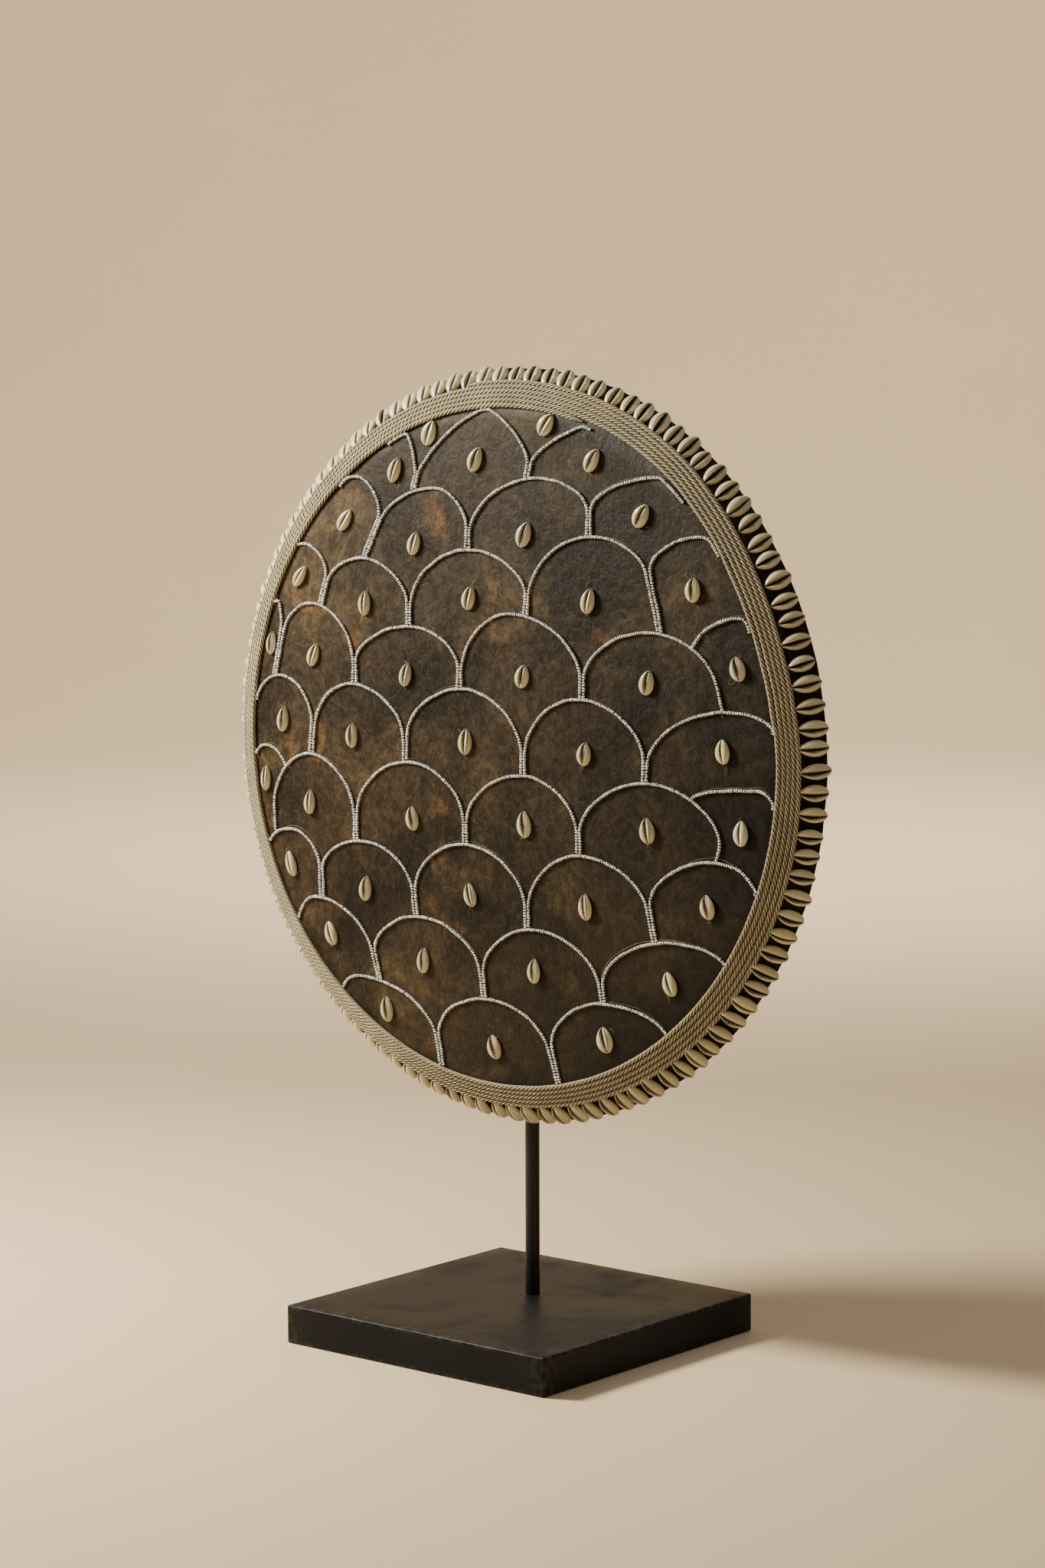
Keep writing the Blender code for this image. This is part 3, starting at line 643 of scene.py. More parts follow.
def shell_material(settings):
    """Glossy ivory with painted shade in the slit between its teeth, tinted low down, each shell its own."""
    material, tree, shader, place = new_material("toothed_cowrie", 0.24)
    dark = attribute(tree, "dark")
    low = attribute(tree, "low")
    tone = attribute(tree, "tone")
    cloud = patches(tree, place, 130.0, 0.35, 0.7)
    blush = patches(tree, place, 60.0, 0.45, 0.62)
    colour = blend(tree, tone, settings.shell_ivory, settings.shell_warm)
    colour = tinted(tree, colour, SHELL_CLOUD, cloud, 0.30)
    grey = math_node(tree, "MULTIPLY", ramp(tree, tone, 0.70, 0.85), ramp(tree, low, 0.25, 0.0))
    colour = tinted(tree, colour, SHELL_GREY, math_node(tree, "MULTIPLY", grey, blush), 0.7)
    amber = math_node(tree, "MULTIPLY", ramp(tree, tone, 0.30, 0.15), blush)
    colour = tinted(tree, colour, SHELL_AMBER, amber, 0.45)
    colour = blend(tree, ramp(tree, low, 0.55, 0.95, 0.0, 0.65), colour, SHELL_UNDERSIDE)
    # Painted shade: browner at the slit's edges, near black deep in the slit and in the notches
    colour = blend(tree, ramp(tree, dark, 0.0, 0.35, 0.0, 0.35), colour, SLIT_EDGE_SHADE)
    slit_shade = ramp(tree, dark, 0.18, 0.62)
    give(tree, shader["Base Color"], blend(tree, slit_shade, colour, SLIT_SHADE))
    give(tree, shader["Roughness"], ramp(tree, slit_shade, 0.0, 1.0, 0.22, 0.8))
    shader["Coat Weight"].default_value = 0.3
    shader["Coat Roughness"].default_value = 0.1
    bump(tree, shader, cloud, 0.15, 0.0003)
    return material


def bead_material(settings):
    """Opaque white glass, each bead its own tone, with painted shade on its ends."""
    material, tree, shader, place = new_material("seed_glass", 0.28)
    tone = attribute(tree, "tone")
    colour = blend(tree, tone, settings.bead_white, shaded(settings.bead_white, 0.72))
    colour = tinted(tree, colour, BEAD_DIRT, patches(tree, place, 60.0, 0.45, 0.75), 0.35)
    # Painted shade on the bead ends, where beads touch on the string
    hole = ramp(tree, attribute(tree, "hole"), 0.25, 1.0, 0.0, 0.9)
    give(tree, shader["Base Color"], blend(tree, hole, colour, BEAD_END_SHADE))
    give(tree, shader["Roughness"], ramp(tree, tone, 0.0, 1.0, 0.22, 0.42))
    return material


def paint_material(settings):
    """Matt black paint, rubbed thin in places and along the edges."""
    material, tree, shader, place = new_material("worn_paint", 0.5)
    thin = patches(tree, place, 14.0, 0.4, 0.75)
    rub = ramp(tree, speckle(tree, place, 160.0, 5.0, 0.65), 0.46, 0.62)
    black = settings.paint_black
    colour = blend(tree, thin, black, shaded(black, 1.9))
    colour = tinted(tree, colour, PAINT_SCRATCH, scratches(tree, place, 30.0, 0.008), 0.12)
    edge = math_node(tree, "MULTIPLY", attribute(tree, "worn"), rub)
    give(tree, shader["Base Color"], tinted(tree, colour, PAINT_RUBBED, edge, 0.30))
    give(tree, shader["Roughness"], ramp(tree, thin, 0.0, 1.0, 0.42, 0.56))
    shader["Specular IOR Level"].default_value = 0.14
    bump(tree, shader, speckle(tree, place, 700.0, 3.0), 0.22, 0.0004)
    return material


def steel_material(settings):
    """Satin black on steel, with fine lines round the rod."""
    material, tree, shader, place = new_material("satin_steel", 0.36)
    lines = streaks(tree, place, (0.1, 0.1, 1.0), 900.0)
    thin = patches(tree, place, 25.0, 0.4, 0.7)
    black = settings.paint_black
    colour = blend(tree, thin, shaded(black, 0.9), shaded(black, 1.7))
    line = ramp(tree, lines, 0.62, 0.80, 0.0, 0.35)
    give(tree, shader["Base Color"], blend(tree, line, colour, STEEL_LINE))
    give(tree, shader["Roughness"], ramp(tree, lines, 0.3, 0.7, 0.30, 0.44))
    shader["Metallic"].default_value = 0.35
    bump(tree, shader, lines, 0.12, 0.0003)
    return material


def zinc_material():
    """Zinc gone dull in spots."""
    material, tree, shader, place = new_material("dull_zinc", 0.4)
    dull = patches(tree, place, 400.0, 0.4, 0.7)
    give(tree, shader["Base Color"], blend(tree, dull, ZINC_PALE, ZINC_DULL))
    give(tree, shader["Roughness"], ramp(tree, dull, 0.0, 1.0, 0.32, 0.55))
    shader["Metallic"].default_value = 0.9
    return material


def floor_material(settings):
    """Plain pale floor with a very faint unevenness."""
    material, tree, shader, place = new_material("pale_floor", 0.75)
    pale = settings.floor_pale
    faint = patches(tree, place, 1.3, 0.2, 0.8)
    give(tree, shader["Base Color"], blend(tree, faint, pale, shaded(pale, 0.97)))
    return material


# Mesh helpers
def link(name, data):
    item = bpy.data.objects.new(name, data)
    bpy.context.scene.collection.objects.link(item)
    return item


def finish_piece(item, slot, *nodes):
    """Hand a finished piece to the frame."""
    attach(item, "root")
    if nodes:
        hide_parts(*nodes)


def mesh_from(bm, name, sharp=math.radians(40)):
    bmesh.ops.recalc_face_normals(bm, faces=bm.faces)
    mesh = bpy.data.meshes.new(name)
    bm.to_mesh(mesh)
    bm.free()
    mesh.shade_smooth()
    mesh.set_sharp_from_angle(angle=sharp)
    return mesh


def spun(name, profile, segments, place, sharp=math.radians(40), closed=False):
    """A turned shape: profile points are (radius, height) placed by a function of angle."""
    bm = bmesh.new()
    rings = []
    for radius, height in profile:
        if radius < 1e-7:
            rings.append([bm.verts.new(place(0.0, 0.0, height))])
        else:
            rings.append([bm.verts.new(place(2 * math.pi * k / segments, radius, height))
                          for k in range(segments)])
    pairs = list(zip(rings, rings[1:]))
    if closed:
        pairs.append((rings[-1], rings[0]))
    for a, b in pairs:
        for k in range(segments):
            n = (k + 1) % segments
            corners = [a[k % len(a)], a[n % len(a)], b[n % len(b)], b[k % len(b)]]
            face = list(dict.fromkeys(corners))
            if len(face) > 2:
                bm.faces.new(face)
    return mesh_from(bm, name, sharp)


# Geometry Nodes helpers
def growth_tree(name, inputs):
    """A modifier tree with a geometry input, named inputs, a material and a geometry output."""
    geometry = ("Geometry", "NodeSocketGeometry")
    tree, ins, outs = new_tree(name, "GeometryNodeTree",
                               (geometry, *inputs, ("Material", "NodeSocketMaterial")), (geometry,))
    tree.is_modifier = True
    return tree, ins, outs


def live(sockets):
    """The outputs that the node's settings leave in use."""
    return [socket for socket in sockets if socket.enabled]


def random_value(tree, kind, low, high, seed, salt):
    """A seeded random number or vector for each point or instance."""
    item = add_node(tree, "FunctionNodeRandomValue", data_type=kind, Min=low, Max=high,
                    Seed=math_node(tree, "ADD", seed, salt))
    return live(item.outputs)[0]


def read(tree, name, kind):
    """The value of a named attribute."""
    item = add_node(tree, "GeometryNodeInputNamedAttribute", data_type=kind, Name=name)
    return live(item.outputs)[0]


def toned(tree, instances, seed, salt):
    """Instances that each carry a random tone from 0 to 1."""
    tone = random_value(tree, "FLOAT", 0.0, 1.0, seed, salt)
    return add_node(tree, "GeometryNodeStoreNamedAttribute", data_type="FLOAT", domain="INSTANCE",
                    Geometry=instances, Name="tone", Value=tone).outputs[0]


def scaled_vector(tree, vector, scale):
    return add_node(tree, "ShaderNodeVectorMath", operation="SCALE", Vector=vector, Scale=scale).outputs[0]


def close_tree(tree, outs, geometry, material):
    """End the tree in Realize Instances and Set Material."""
    real = add_node(tree, "GeometryNodeRealizeInstances", Geometry=geometry)
    coat = add_node(tree, "GeometryNodeSetMaterial", Geometry=real.outputs[0], Material=material)
    give(tree, outs[0], coat.outputs[0])


def grown(source, tree, values, material, name):
    """A plain mesh object of one material from an object, a Geometry Nodes tree and its inputs."""
    values = {**values, "Material": material}
    modifier = source.modifiers.new(tree.name, "NODES")
    modifier.node_group = tree
    for item in tree.interface.items_tree:
        if item.item_type == "SOCKET" and item.in_out == "INPUT" and item.name in values:
            modifier[item.identifier] = values[item.name]
    source.update_tag()
    bpy.context.view_layer.update()
    result = source.evaluated_get(bpy.context.evaluated_depsgraph_get())
    mesh = bpy.data.meshes.new_from_object(result, preserve_all_data_layers=True,
                                           depsgraph=bpy.context.evaluated_depsgraph_get())
    mesh.name = name
    if len(mesh.polygons) == 0:
        raise RuntimeError(f"{name} came out empty")
    mesh.materials.clear()
    mesh.materials.append(material)
    mesh.polygons.foreach_set("material_index", [0] * len(mesh.polygons))
    source.modifiers.remove(modifier)
    bpy.data.objects.remove(source, do_unlink=True)
    return link(name, mesh)


def poly_curve(name, routes):
    """A curve object with one open straight-run spline for each list of points."""
    data = bpy.data.curves.new(name, "CURVE")
    data.dimensions = "3D"
    for route in routes:
        spline = data.splines.new("POLY")
        spline.points.add(len(route) - 1)
        spline.points.foreach_set("co", [number for point in route for number in (*point, 1.0)])
    return link(name, data)


# Board and hide
def board_profile():
    """Fine half section of the board, from the middle of the face round to the back's edge."""
    profile = [(FACE_R * i / 30, face_depth(FACE_R * i / 30)) for i in range(31)]
    profile += [(FACE_R + BEVEL_W * share * math.cos(BEVEL_SLOPE), BEVEL_W * share * math.sin(BEVEL_SLOPE))
                for share in (0.25, 0.5, 0.75, 0.97)]
    profile.append((CHAMFER_START_R, BEVEL_DEPTH + 0.0005))
    profile.append((CHAMFER_START_R, CHAMFER_START_DEPTH - 0.0004))
    for share in (0.06, 0.25, 0.45, 0.65, 0.85, 0.95):
        profile.append((CHAMFER_START_R + CHAMFER_R * share,
                        CHAMFER_START_DEPTH + CHAMFER_R * share * math.tan(CHAMFER_SLOPE)))
    profile.append((BOARD_R - 0.0001, FACE_EDGE_T - 0.0009))
    profile.append((BOARD_R - 0.0004, FACE_EDGE_T - 0.0003))
    profile.append((BOARD_R - 0.0011, FACE_EDGE_T))
    return profile


def uneven(point, amount):
    """Push a point of the hide in or out by a slow noise."""
    slow = noise.noise(Vector((point[0] * 22, 3.0, point[2] * 22)))
    quick = noise.noise(Vector((point[0] * 75, 9.0, point[2] * 75)))
    return amount * (0.7 * slow + 0.3 * quick)


def make_board(settings):
    segments = settings.hide_segments

    def place(angle, radius, depth):
        point = on_ring(angle, radius, depth)
        if radius <= FACE_R:
            point[1] += uneven(point, settings.hide_unevenness) * min(1.0, radius / 0.02)
        elif radius > CHAMFER_START_R + CHAMFER_R * 0.8 and depth < FACE_EDGE_T:
            frayed = noise.noise(Vector((math.cos(angle) * 14, math.sin(angle) * 14, 5.0)))
            frayed += 0.6 * noise.noise(Vector((math.cos(angle) * 45, math.sin(angle) * 45, 1.0)))
            point = on_ring(angle, radius + 0.0005 * frayed, depth)
        return point

    profile = board_profile()
    lip = FACE_EDGE_T - 0.0008
    turned_in = [(BOARD_R - 0.016, FACE_EDGE_T), (BOARD_R - 0.0168, FACE_EDGE_T - 0.0002),
                 (BOARD_R - 0.017, lip), (BOARD_R * 0.5, lip), (0.0, lip)]
    mesh = spun("hide_covered_board", profile + turned_in, segments, place, math.radians(30))
    board = link("hide_covered_board", mesh)
    mesh.materials.append(hide_material(settings))
    mesh.materials.append(board_back_material(settings))
    middle = Vector((SHIELD_X, 0.0, SHIELD_Z))
    for face in mesh.polygons:
        centre = face.center
        away = math.hypot(centre[0] - middle[0], centre[2] - middle[2])
        if face.normal[1] > 0.5 and away < BOARD_R - 0.0165:
            face.material_index = 1
    finish_piece(board, "dark_hide", "shield_board")


# Twine
def strand_profile(points, strands):
    """Outline of strands laid together, of outer radius one: angle and reach at each point."""
    share = math.pi / strands
    strand = 1 / (1 + 1 / math.sin(share))
    middle = 1 - strand
    outline = []
    for k in range(points):
        angle = 2 * math.pi * k / points
        turn = (angle + share) % (2 * share) - share
        reach = middle * math.cos(turn) + math.sqrt(max(strand ** 2 - (middle * math.sin(turn)) ** 2, 0.0))
        outline.append((angle, max(reach, STRAND_DEEPEST)))
    return outline


def twine_tree():
    """Strands swept along a winding that strays a little, thinner towards both ends."""
    tree, ins, outs = growth_tree("Twine", (
        ("Profile", "NodeSocketObject"),
        ("Diameter", "NodeSocketFloat", 0.0037),
        ("Lay length", "NodeSocketFloat", 0.0165),
        ("Step", "NodeSocketFloat", 0.0016),
        ("Slack", "NodeSocketFloat", 0.0006)))
    even = add_node(tree, "GeometryNodeResampleCurve", mode="LENGTH", Curve=ins["Geometry"],
                    Length=ins["Step"])
    sway = add_node(tree, "ShaderNodeTexNoise", Scale=55.0, Detail=2.0,
                    Vector=add_node(tree, "GeometryNodeInputPosition").outputs[0])
    centred = add_node(tree, "ShaderNodeVectorMath", operation="SUBTRACT")
    give(tree, centred.inputs[0], sway.outputs["Color"])
    give(tree, centred.inputs[1], (0.5, 0.5, 0.5))
    moved = add_node(tree, "GeometryNodeSetPosition", Geometry=even.outputs[0],
                     Offset=scaled_vector(tree, centred.outputs[0], ins["Slack"]))
    length = add_node(tree, "GeometryNodeSplineParameter").outputs["Length"]
    turn = math_node(tree, "MULTIPLY", math_node(tree, "DIVIDE", length, ins["Lay length"]), -2 * math.pi)
    measured = add_node(tree, "GeometryNodeStoreNamedAttribute", data_type="FLOAT", domain="POINT",
                        Geometry=moved.outputs[0], Name="run", Value=length)
    twisted = add_node(tree, "GeometryNodeSetCurveTilt", Curve=measured.outputs[0], Tilt=turn)
    profile = add_node(tree, "GeometryNodeObjectInfo", Object=ins["Profile"])
    outline = add_node(tree, "GeometryNodeMeshToCurve", Mesh=profile.outputs["Geometry"])
    size = add_node(tree, "GeometryNodeTransform", Geometry=outline.outputs[0],
                    Scale=math_node(tree, "MULTIPLY", ins["Diameter"], 0.5))
    whole = add_node(tree, "GeometryNodeSplineLength").outputs["Length"]
    to_end = math_node(tree, "MINIMUM", length, math_node(tree, "SUBTRACT", whole, length))
    sweep = add_node(tree, "GeometryNodeCurveToMesh", Curve=twisted.outputs[0],
                     Profile_Curve=size.outputs[0], Fill_Caps=True,
                     Scale=ramp(tree, to_end, 0.0, 0.010, 0.3, 1.0))
    soft = add_node(tree, "GeometryNodeSetShadeSmooth", Geometry=sweep.outputs[0])
    close_tree(tree, outs, soft.outputs[0], ins["Material"])
    return tree


def make_twine(settings):
    total = TWINE_LAPS * 2 * math.pi + TWINE_OVERLAP
    radius = settings.twine_diameter / 2
    route = []
    for i in range(int(total / TWINE_ROUTE_STEP) + 1):
        turned = i * TWINE_ROUTE_STEP
        angle = TWINE_START - turned
        across = twine_across(turned) * (1 + eased(TWINE_SPREAD, angle)) - eased(TWINE_DRIFT, angle)
        route.append(on_ring(angle, *on_bevel(across, radius - TWINE_SINK)))
    outline = strand_profile(settings.twine_outline, settings.twine_strands)
    mesh = bpy.data.meshes.new("twine_outline")
    count = len(outline)
    mesh.from_pydata([(reach * math.cos(angle), reach * math.sin(angle), 0) for angle, reach in outline],
                     [(k, (k + 1) % count) for k in range(count)], [])
    for name, numbers in (("crest", [reach for angle, reach in outline]),
                          ("side", [radius * math.cos(angle) for angle, reach in outline]),
                          ("front", [radius * math.sin(angle) for angle, reach in outline])):
        mesh.attributes.new(name, "FLOAT", "POINT").data.foreach_set("value", numbers)
    profile = link("twine_outline", mesh)
    curve = poly_curve("twine_route", [route])
    twine = grown(curve, twine_tree(), {
        "Profile": profile, "Diameter": settings.twine_diameter, "Lay length": settings.twine_lay,
        "Step": settings.twine_step, "Slack": settings.twine_slack}, twine_material(settings), "wound_twine")
    bpy.data.objects.remove(profile, do_unlink=True)
    finish_piece(twine, "twisted_cord", "wound_cord")


# Cowries
def cowrie_master(name, size, slit_at, bend, slit_width):
    """A cowrie on its cut back: slit left of the middle, narrow end towards +Y, toothed lips, with painted
    shade for the slit and its notches kept in its dark attribute.
    """
    length, width, height = size
    stations = TEETH * TOOTH_STEPS + 2 * PLAIN_STATIONS + 1
    verts, faces, dark, low = [], [], [], []
    for s in range(stations):
        even = 2 * (s + 0.5) / stations - 1
        t = 0.7 * even + 0.3 * math.sin(math.pi * even / 2)
        tooth = 0.5 - 0.5 * math.cos(2 * math.pi * (s - PLAIN_STATIONS) / TOOTH_STEPS)
        toothed = 1.0 if t > 0 or s >= PLAIN_STATIONS else 0.6
        round_off = max(1 - t * t, 0.0) ** (0.64 if t > 0 else 0.54)
        half = width / 2 * round_off * (1 - 0.12 * t - 0.04 * t * t)
        tall = height * (0.30 + 0.70 * max(1 - t * t, 0.0) ** 0.62) * (1 - 0.05 * t)
        middle = (slit_at + bend * (1 - t * t) - 0.08 * t) * half
        gap = slit_width * width / 2 * (0.05 + 0.95 * round_off) * (1 + 0.20 * t)
        shallow = 1 - smooth(round_off / 0.6)
        row = [(x * half, z * tall, 0.0, z) for x, z in LEFT_LIP]
        for distance, z, reach, notch_shade, tooth_shade in SLIT:
            across = middle + (distance + reach * tooth) * gap
            # Painted shade: dark in the notches and deep in the slit, pale on the teeth
            shade = (notch_shade + (tooth_shade - notch_shade) * tooth) * toothed
            z *= 1 - 0.12 * notch_shade * (1 - tooth)
            z += (0.88 - z) * shallow
            row.append((min(max(across, -0.93 * half), 0.93 * half), z * tall, shade, z))
        row += [(x * half, z * tall, 0.0, z) for x, z in RIGHT_LIP]
        for across, up, shade, share in row:
            verts.append((across, t * length / 2, up))
            dark.append(shade)
            low.append(1 - share)
    count = len(row)
    for s in range(stations - 1):
        for k in range(count):
            a, b = s * count + k, s * count + (k + 1) % count
            faces.append((a, b, b + count, a + count))
    for end, t in ((0, -1.0), (stations - 1, 1.0)):
        # The tips carry some painted shade where the slit ends
        verts.append((slit_at * width / 2 * 0.35, t * length / 2, 0.24 * height))
        dark.append(0.5)
        low.append(0.6)
        tip = len(verts) - 1
        for k in range(count):
            a, b = end * count + k, end * count + (k + 1) % count
            faces.append((b, a, tip) if t < 0 else (a, b, tip))
    mesh = bpy.data.meshes.new(name)
    mesh.from_pydata(verts, [], faces)
    for label, numbers in (("dark", dark), ("low", low)):
        mesh.attributes.new(label, "FLOAT", "POINT").data.foreach_set("value", numbers)
    bm = bmesh.new()
    bm.from_mesh(mesh)
    bmesh.ops.recalc_face_normals(bm, faces=bm.faces)
    bm.to_mesh(mesh)
    bm.free()
    mesh.shade_smooth()
    return link(name, mesh)


def seats_mesh(name, seats):
    """Points that carry how each shell is turned and stretched, and its kind."""
    mesh = bpy.data.meshes.new(name)
    mesh.from_pydata([place for place, turn, stretch, kind in seats], [], [])
    turns = [number for place, turn, stretch, kind in seats for number in turn.to_euler()]
    mesh.attributes.new("turn", "FLOAT_VECTOR", "POINT").data.foreach_set("vector", turns)
    stretches = [number for place, turn, stretch, kind in seats for number in stretch]
    mesh.attributes.new("stretch", "FLOAT_VECTOR", "POINT").data.foreach_set("vector", stretches)
    mesh.attributes.new("kind", "INT", "POINT").data.foreach_set("value", [seat[3] for seat in seats])
    return link(name, mesh)


def cowrie_tree():
    """A shell of its own kind and tone on every seat."""
    tree, ins, outs = growth_tree("Cowries", (
        ("First kind", "NodeSocketObject"), ("Second kind", "NodeSocketObject"),
        ("Third kind", "NodeSocketObject"), ("Size spread", "NodeSocketFloat", 0.04),
        ("Seed", "NodeSocketInt", 3)))
    kinds = add_node(tree, "GeometryNodeJoinGeometry")
    for name in ("Third kind", "Second kind", "First kind"):
        kind = add_node(tree, "GeometryNodeObjectInfo", Object=ins[name], As_Instance=True)
        give(tree, kinds.inputs[0], kind.outputs["Geometry"])
    euler = tree.nodes.new("FunctionNodeEulerToRotation")
    give(tree, euler.inputs[0], read(tree, "turn", "FLOAT_VECTOR"))
    spread = random_value(tree, "FLOAT", -1.0, 1.0, ins["Seed"], 1)
    grown_by = math_node(tree, "ADD", math_node(tree, "MULTIPLY", spread, ins["Size spread"]), 1.0)
    placed = add_node(tree, "GeometryNodeInstanceOnPoints", Points=ins["Geometry"],
                      Instance=kinds.outputs[0], Pick_Instance=True,
                      Instance_Index=read(tree, "kind", "INT"), Rotation=euler.outputs[0],
                      Scale=scaled_vector(tree, read(tree, "stretch", "FLOAT_VECTOR"), grown_by))
    close_tree(tree, outs, toned(tree, placed.outputs[0], ins["Seed"], 3), ins["Material"])
    return tree


def grow_cowries(settings, name, seats, size, slit_at, slit_width, seed):
    """Shells of three kinds on their seats; the slit's place and width are shares of half the width."""
    kinds = [cowrie_master(f"{name}_kind_{n + 1}", size, slit_at, bend, slit_width * slit)
             for n, (bend, slit) in enumerate(KINDS)]
    material = bpy.data.materials.get("toothed_cowrie") or shell_material(settings)
    shells = grown(seats_mesh(name + "_seats", seats), cowrie_tree(), {
        "First kind": kinds[0], "Second kind": kinds[1], "Third kind": kinds[2],
        "Size spread": settings.shell_spread, "Seed": seed}, material, name)
    for kind in kinds:
        bpy.data.objects.remove(kind, do_unlink=True)
    return shells


def make_rim_cowries(settings):
    pick = random.Random(11)
    pitch = 2 * math.pi / RIM_SHELLS
    seats = []
    for i in range(RIM_SHELLS):
        centre = pitch * (i + RIM_PHASE)
        skew = math.radians(eased(RIM_SKEW, centre) + pick.uniform(-4, 4))
        roll = math.radians(eased(RIM_ROLL, centre) + pick.uniform(-6, 6))
        sideways = pick.uniform(-0.06, 0.06) * pitch
        breadth = eased(RIM_BREADTH, centre)
        stretch = (pick.uniform(0.95, 1.05) * breadth, pick.uniform(0.96, 1.06) / math.sqrt(breadth),
                   pick.uniform(0.94, 1.06) / breadth ** 2)
        if min(abs(centre - lost) for lost in LOST_SHELLS) < pitch / 2:
            continue
        angle = centre + sideways
        radial = Vector((math.cos(angle), 0.0, math.sin(angle)))
        back = Vector((0.0, 1.0, 0.0))
        along = radial * math.cos(CHAMFER_SLOPE) + back * math.sin(CHAMFER_SLOPE)
        out = radial * math.sin(CHAMFER_SLOPE) - back * math.cos(CHAMFER_SLOPE)
        seat = RIM_SEAT + eased(RIM_DRIFT, angle) + pick.uniform(-0.0006, 0.0006)
        place = on_ring(angle, CHAMFER_START_R, CHAMFER_START_DEPTH) + along * seat + out * SHELL_LIFT
        ahead = -along
        turn = Matrix((ahead.cross(out), ahead, out)).transposed()
        turn = turn @ Matrix.Rotation(skew, 3, "Z") @ Matrix.Rotation(roll, 3, "Y")
        narrow = smooth((math.degrees(centre) - 70) / 50) * smooth((290 - math.degrees(centre)) / 40)
        kind = 1 if pick.random() < 0.15 + 0.8 * narrow else pick.choice((0, 2))
        seats.append((place, turn, stretch, kind))
    size = (settings.rim_shell_length, settings.rim_shell_width, settings.rim_shell_height)
    shells = grow_cowries(settings, "rim_shells", seats, size, -0.13, 0.165, 5)
    finish_piece(shells, "cowrie_shell", "rim_cowries")


def make_face_cowries(settings):
    pick = random.Random(23)
    seats = []
    for x, z, lean in SHELLS:
        place = laid(x, z)
        place *= min(1.0, (FACE_R - SHELL_INSET) / max(place.length, 1e-9))
        radius = max(place.length, 1e-6)
        slope = 2 * DOME * radius / FACE_R ** 2
        out = Vector((slope * place[0] / radius, -1.0, slope * place[1] / radius)).normalized()
        up = Vector((math.sin(math.radians(lean)), 0.0, math.cos(math.radians(lean))))
        up = (up - out * up.dot(out)).normalized()
        turn = Matrix((up.cross(out), up, out)).transposed()
        roll = Matrix.Rotation(math.radians(pick.uniform(-6, 6) + 6 - 6 * x / 1000), 3, "Y")
        stretch = (pick.uniform(0.95, 1.05) * min(1.05 + 0.28 * x / 1000, 1.06),
                   pick.uniform(0.96, 1.04) * (1.03 - 0.04 * x / 1000), pick.uniform(0.92, 1.06))
        at = on_shield(place[0], place[1], face_depth(radius) - SHELL_LIFT)
        seats.append((at, turn @ roll, stretch, pick.choice((0, 0, 1, 2))))
    size = (settings.face_shell_length, settings.face_shell_width, settings.face_shell_height)
    shells = grow_cowries(settings, "face_shells", seats, size, 0.08, 0.19, 9)
    finish_piece(shells, "cowrie_shell", *[f"face_cowrie_{i + 1:02d}" for i in range(len(SHELLS))])


# Beads
def bead_master():
    """A seed bead of unit diameter, threaded along Z."""
    profile = ((0.0, -0.38), (0.29, -0.40), (0.49, -0.20), (0.49, 0.20), (0.29, 0.40), (0.0, 0.38))

    def place(angle, radius, height):
        return Vector((radius * math.cos(angle), radius * math.sin(angle), height))

    mesh = spun("bead_kind", profile, 8, place, math.radians(80))
    # The end faces are marked for painted shade, where the beads touch on the string
    hole = mesh.attributes.new("hole", "FLOAT", "POINT")
    hole.data.foreach_set("value", [1.0 if abs(vert.co[2]) > 0.3 else 0.0 for vert in mesh.vertices])
    return link("bead_kind", mesh)


def bead_tree():
    """Beads strung along every route, each a little off in size, turn and place."""
    tree, ins, outs = growth_tree("Beads", (
        ("Bead", "NodeSocketObject"), ("Diameter", "NodeSocketFloat", 0.0024),
        ("Pitch", "NodeSocketFloat", 0.00205), ("Unevenness", "NodeSocketFloat", 0.14),
        ("Seed", "NodeSocketInt", 1)))
    seed = ins["Seed"]
    even = add_node(tree, "GeometryNodeResampleCurve", mode="LENGTH", Curve=ins["Geometry"],
                    Length=ins["Pitch"])
    bead = add_node(tree, "GeometryNodeObjectInfo", Object=ins["Bead"], As_Instance=True)
    lean = add_node(tree, "ShaderNodeVectorMath", operation="ADD")
    give(tree, lean.inputs[0], add_node(tree, "GeometryNodeInputTangent").outputs[0])
    give(tree, lean.inputs[1], random_value(tree, "FLOAT_VECTOR", (-0.5,) * 3, (0.5,) * 3, seed, 4))
    aim = add_node(tree, "FunctionNodeAlignRotationToVector", axis="Z", Vector=lean.outputs[0])
    low = math_node(tree, "SUBTRACT", 1.0, ins["Unevenness"])
    high = math_node(tree, "ADD", 1.0, math_node(tree, "MULTIPLY", ins["Unevenness"], 0.6))
    size = math_node(tree, "MULTIPLY", ins["Diameter"], random_value(tree, "FLOAT", low, high, seed, 5))
    flat = random_value(tree, "FLOAT_VECTOR", (0.93, 0.93, 0.72), (1.07, 1.07, 1.10), seed, 6)
    placed = add_node(tree, "GeometryNodeInstanceOnPoints", Points=even.outputs[0],
                      Instance=bead.outputs["Geometry"], Rotation=aim.outputs[0],
                      Scale=scaled_vector(tree, flat, size))
    close_tree(tree, outs, toned(tree, placed.outputs[0], seed, 7), ins["Material"])
    return tree


def make_beads(settings):
    bead = bead_master()
    material = bead_material(settings)
    tree = bead_tree()
    size = settings.bead_diameter
    routes = string_routes(size)
    for name, chosen in (("bead_strings_upper", range(0, 5)), ("bead_strings_lower", range(5, 9))):
        lines = []
        for (row, i), route in sorted(routes.items()):
            if row in chosen:
                lines.append([on_shield(p[0], p[1], face_depth(p.length) - size * BEAD_SEAT) for p in route])
        strings = grown(poly_curve(name + "_route", lines), tree, {
            "Bead": bead, "Diameter": size, "Pitch": settings.bead_pitch,
            "Unevenness": settings.bead_unevenness, "Seed": 2}, material, name)
        finish_piece(strings, "glass_beads", "bead_scallops")
    bpy.data.objects.remove(bead, do_unlink=True)


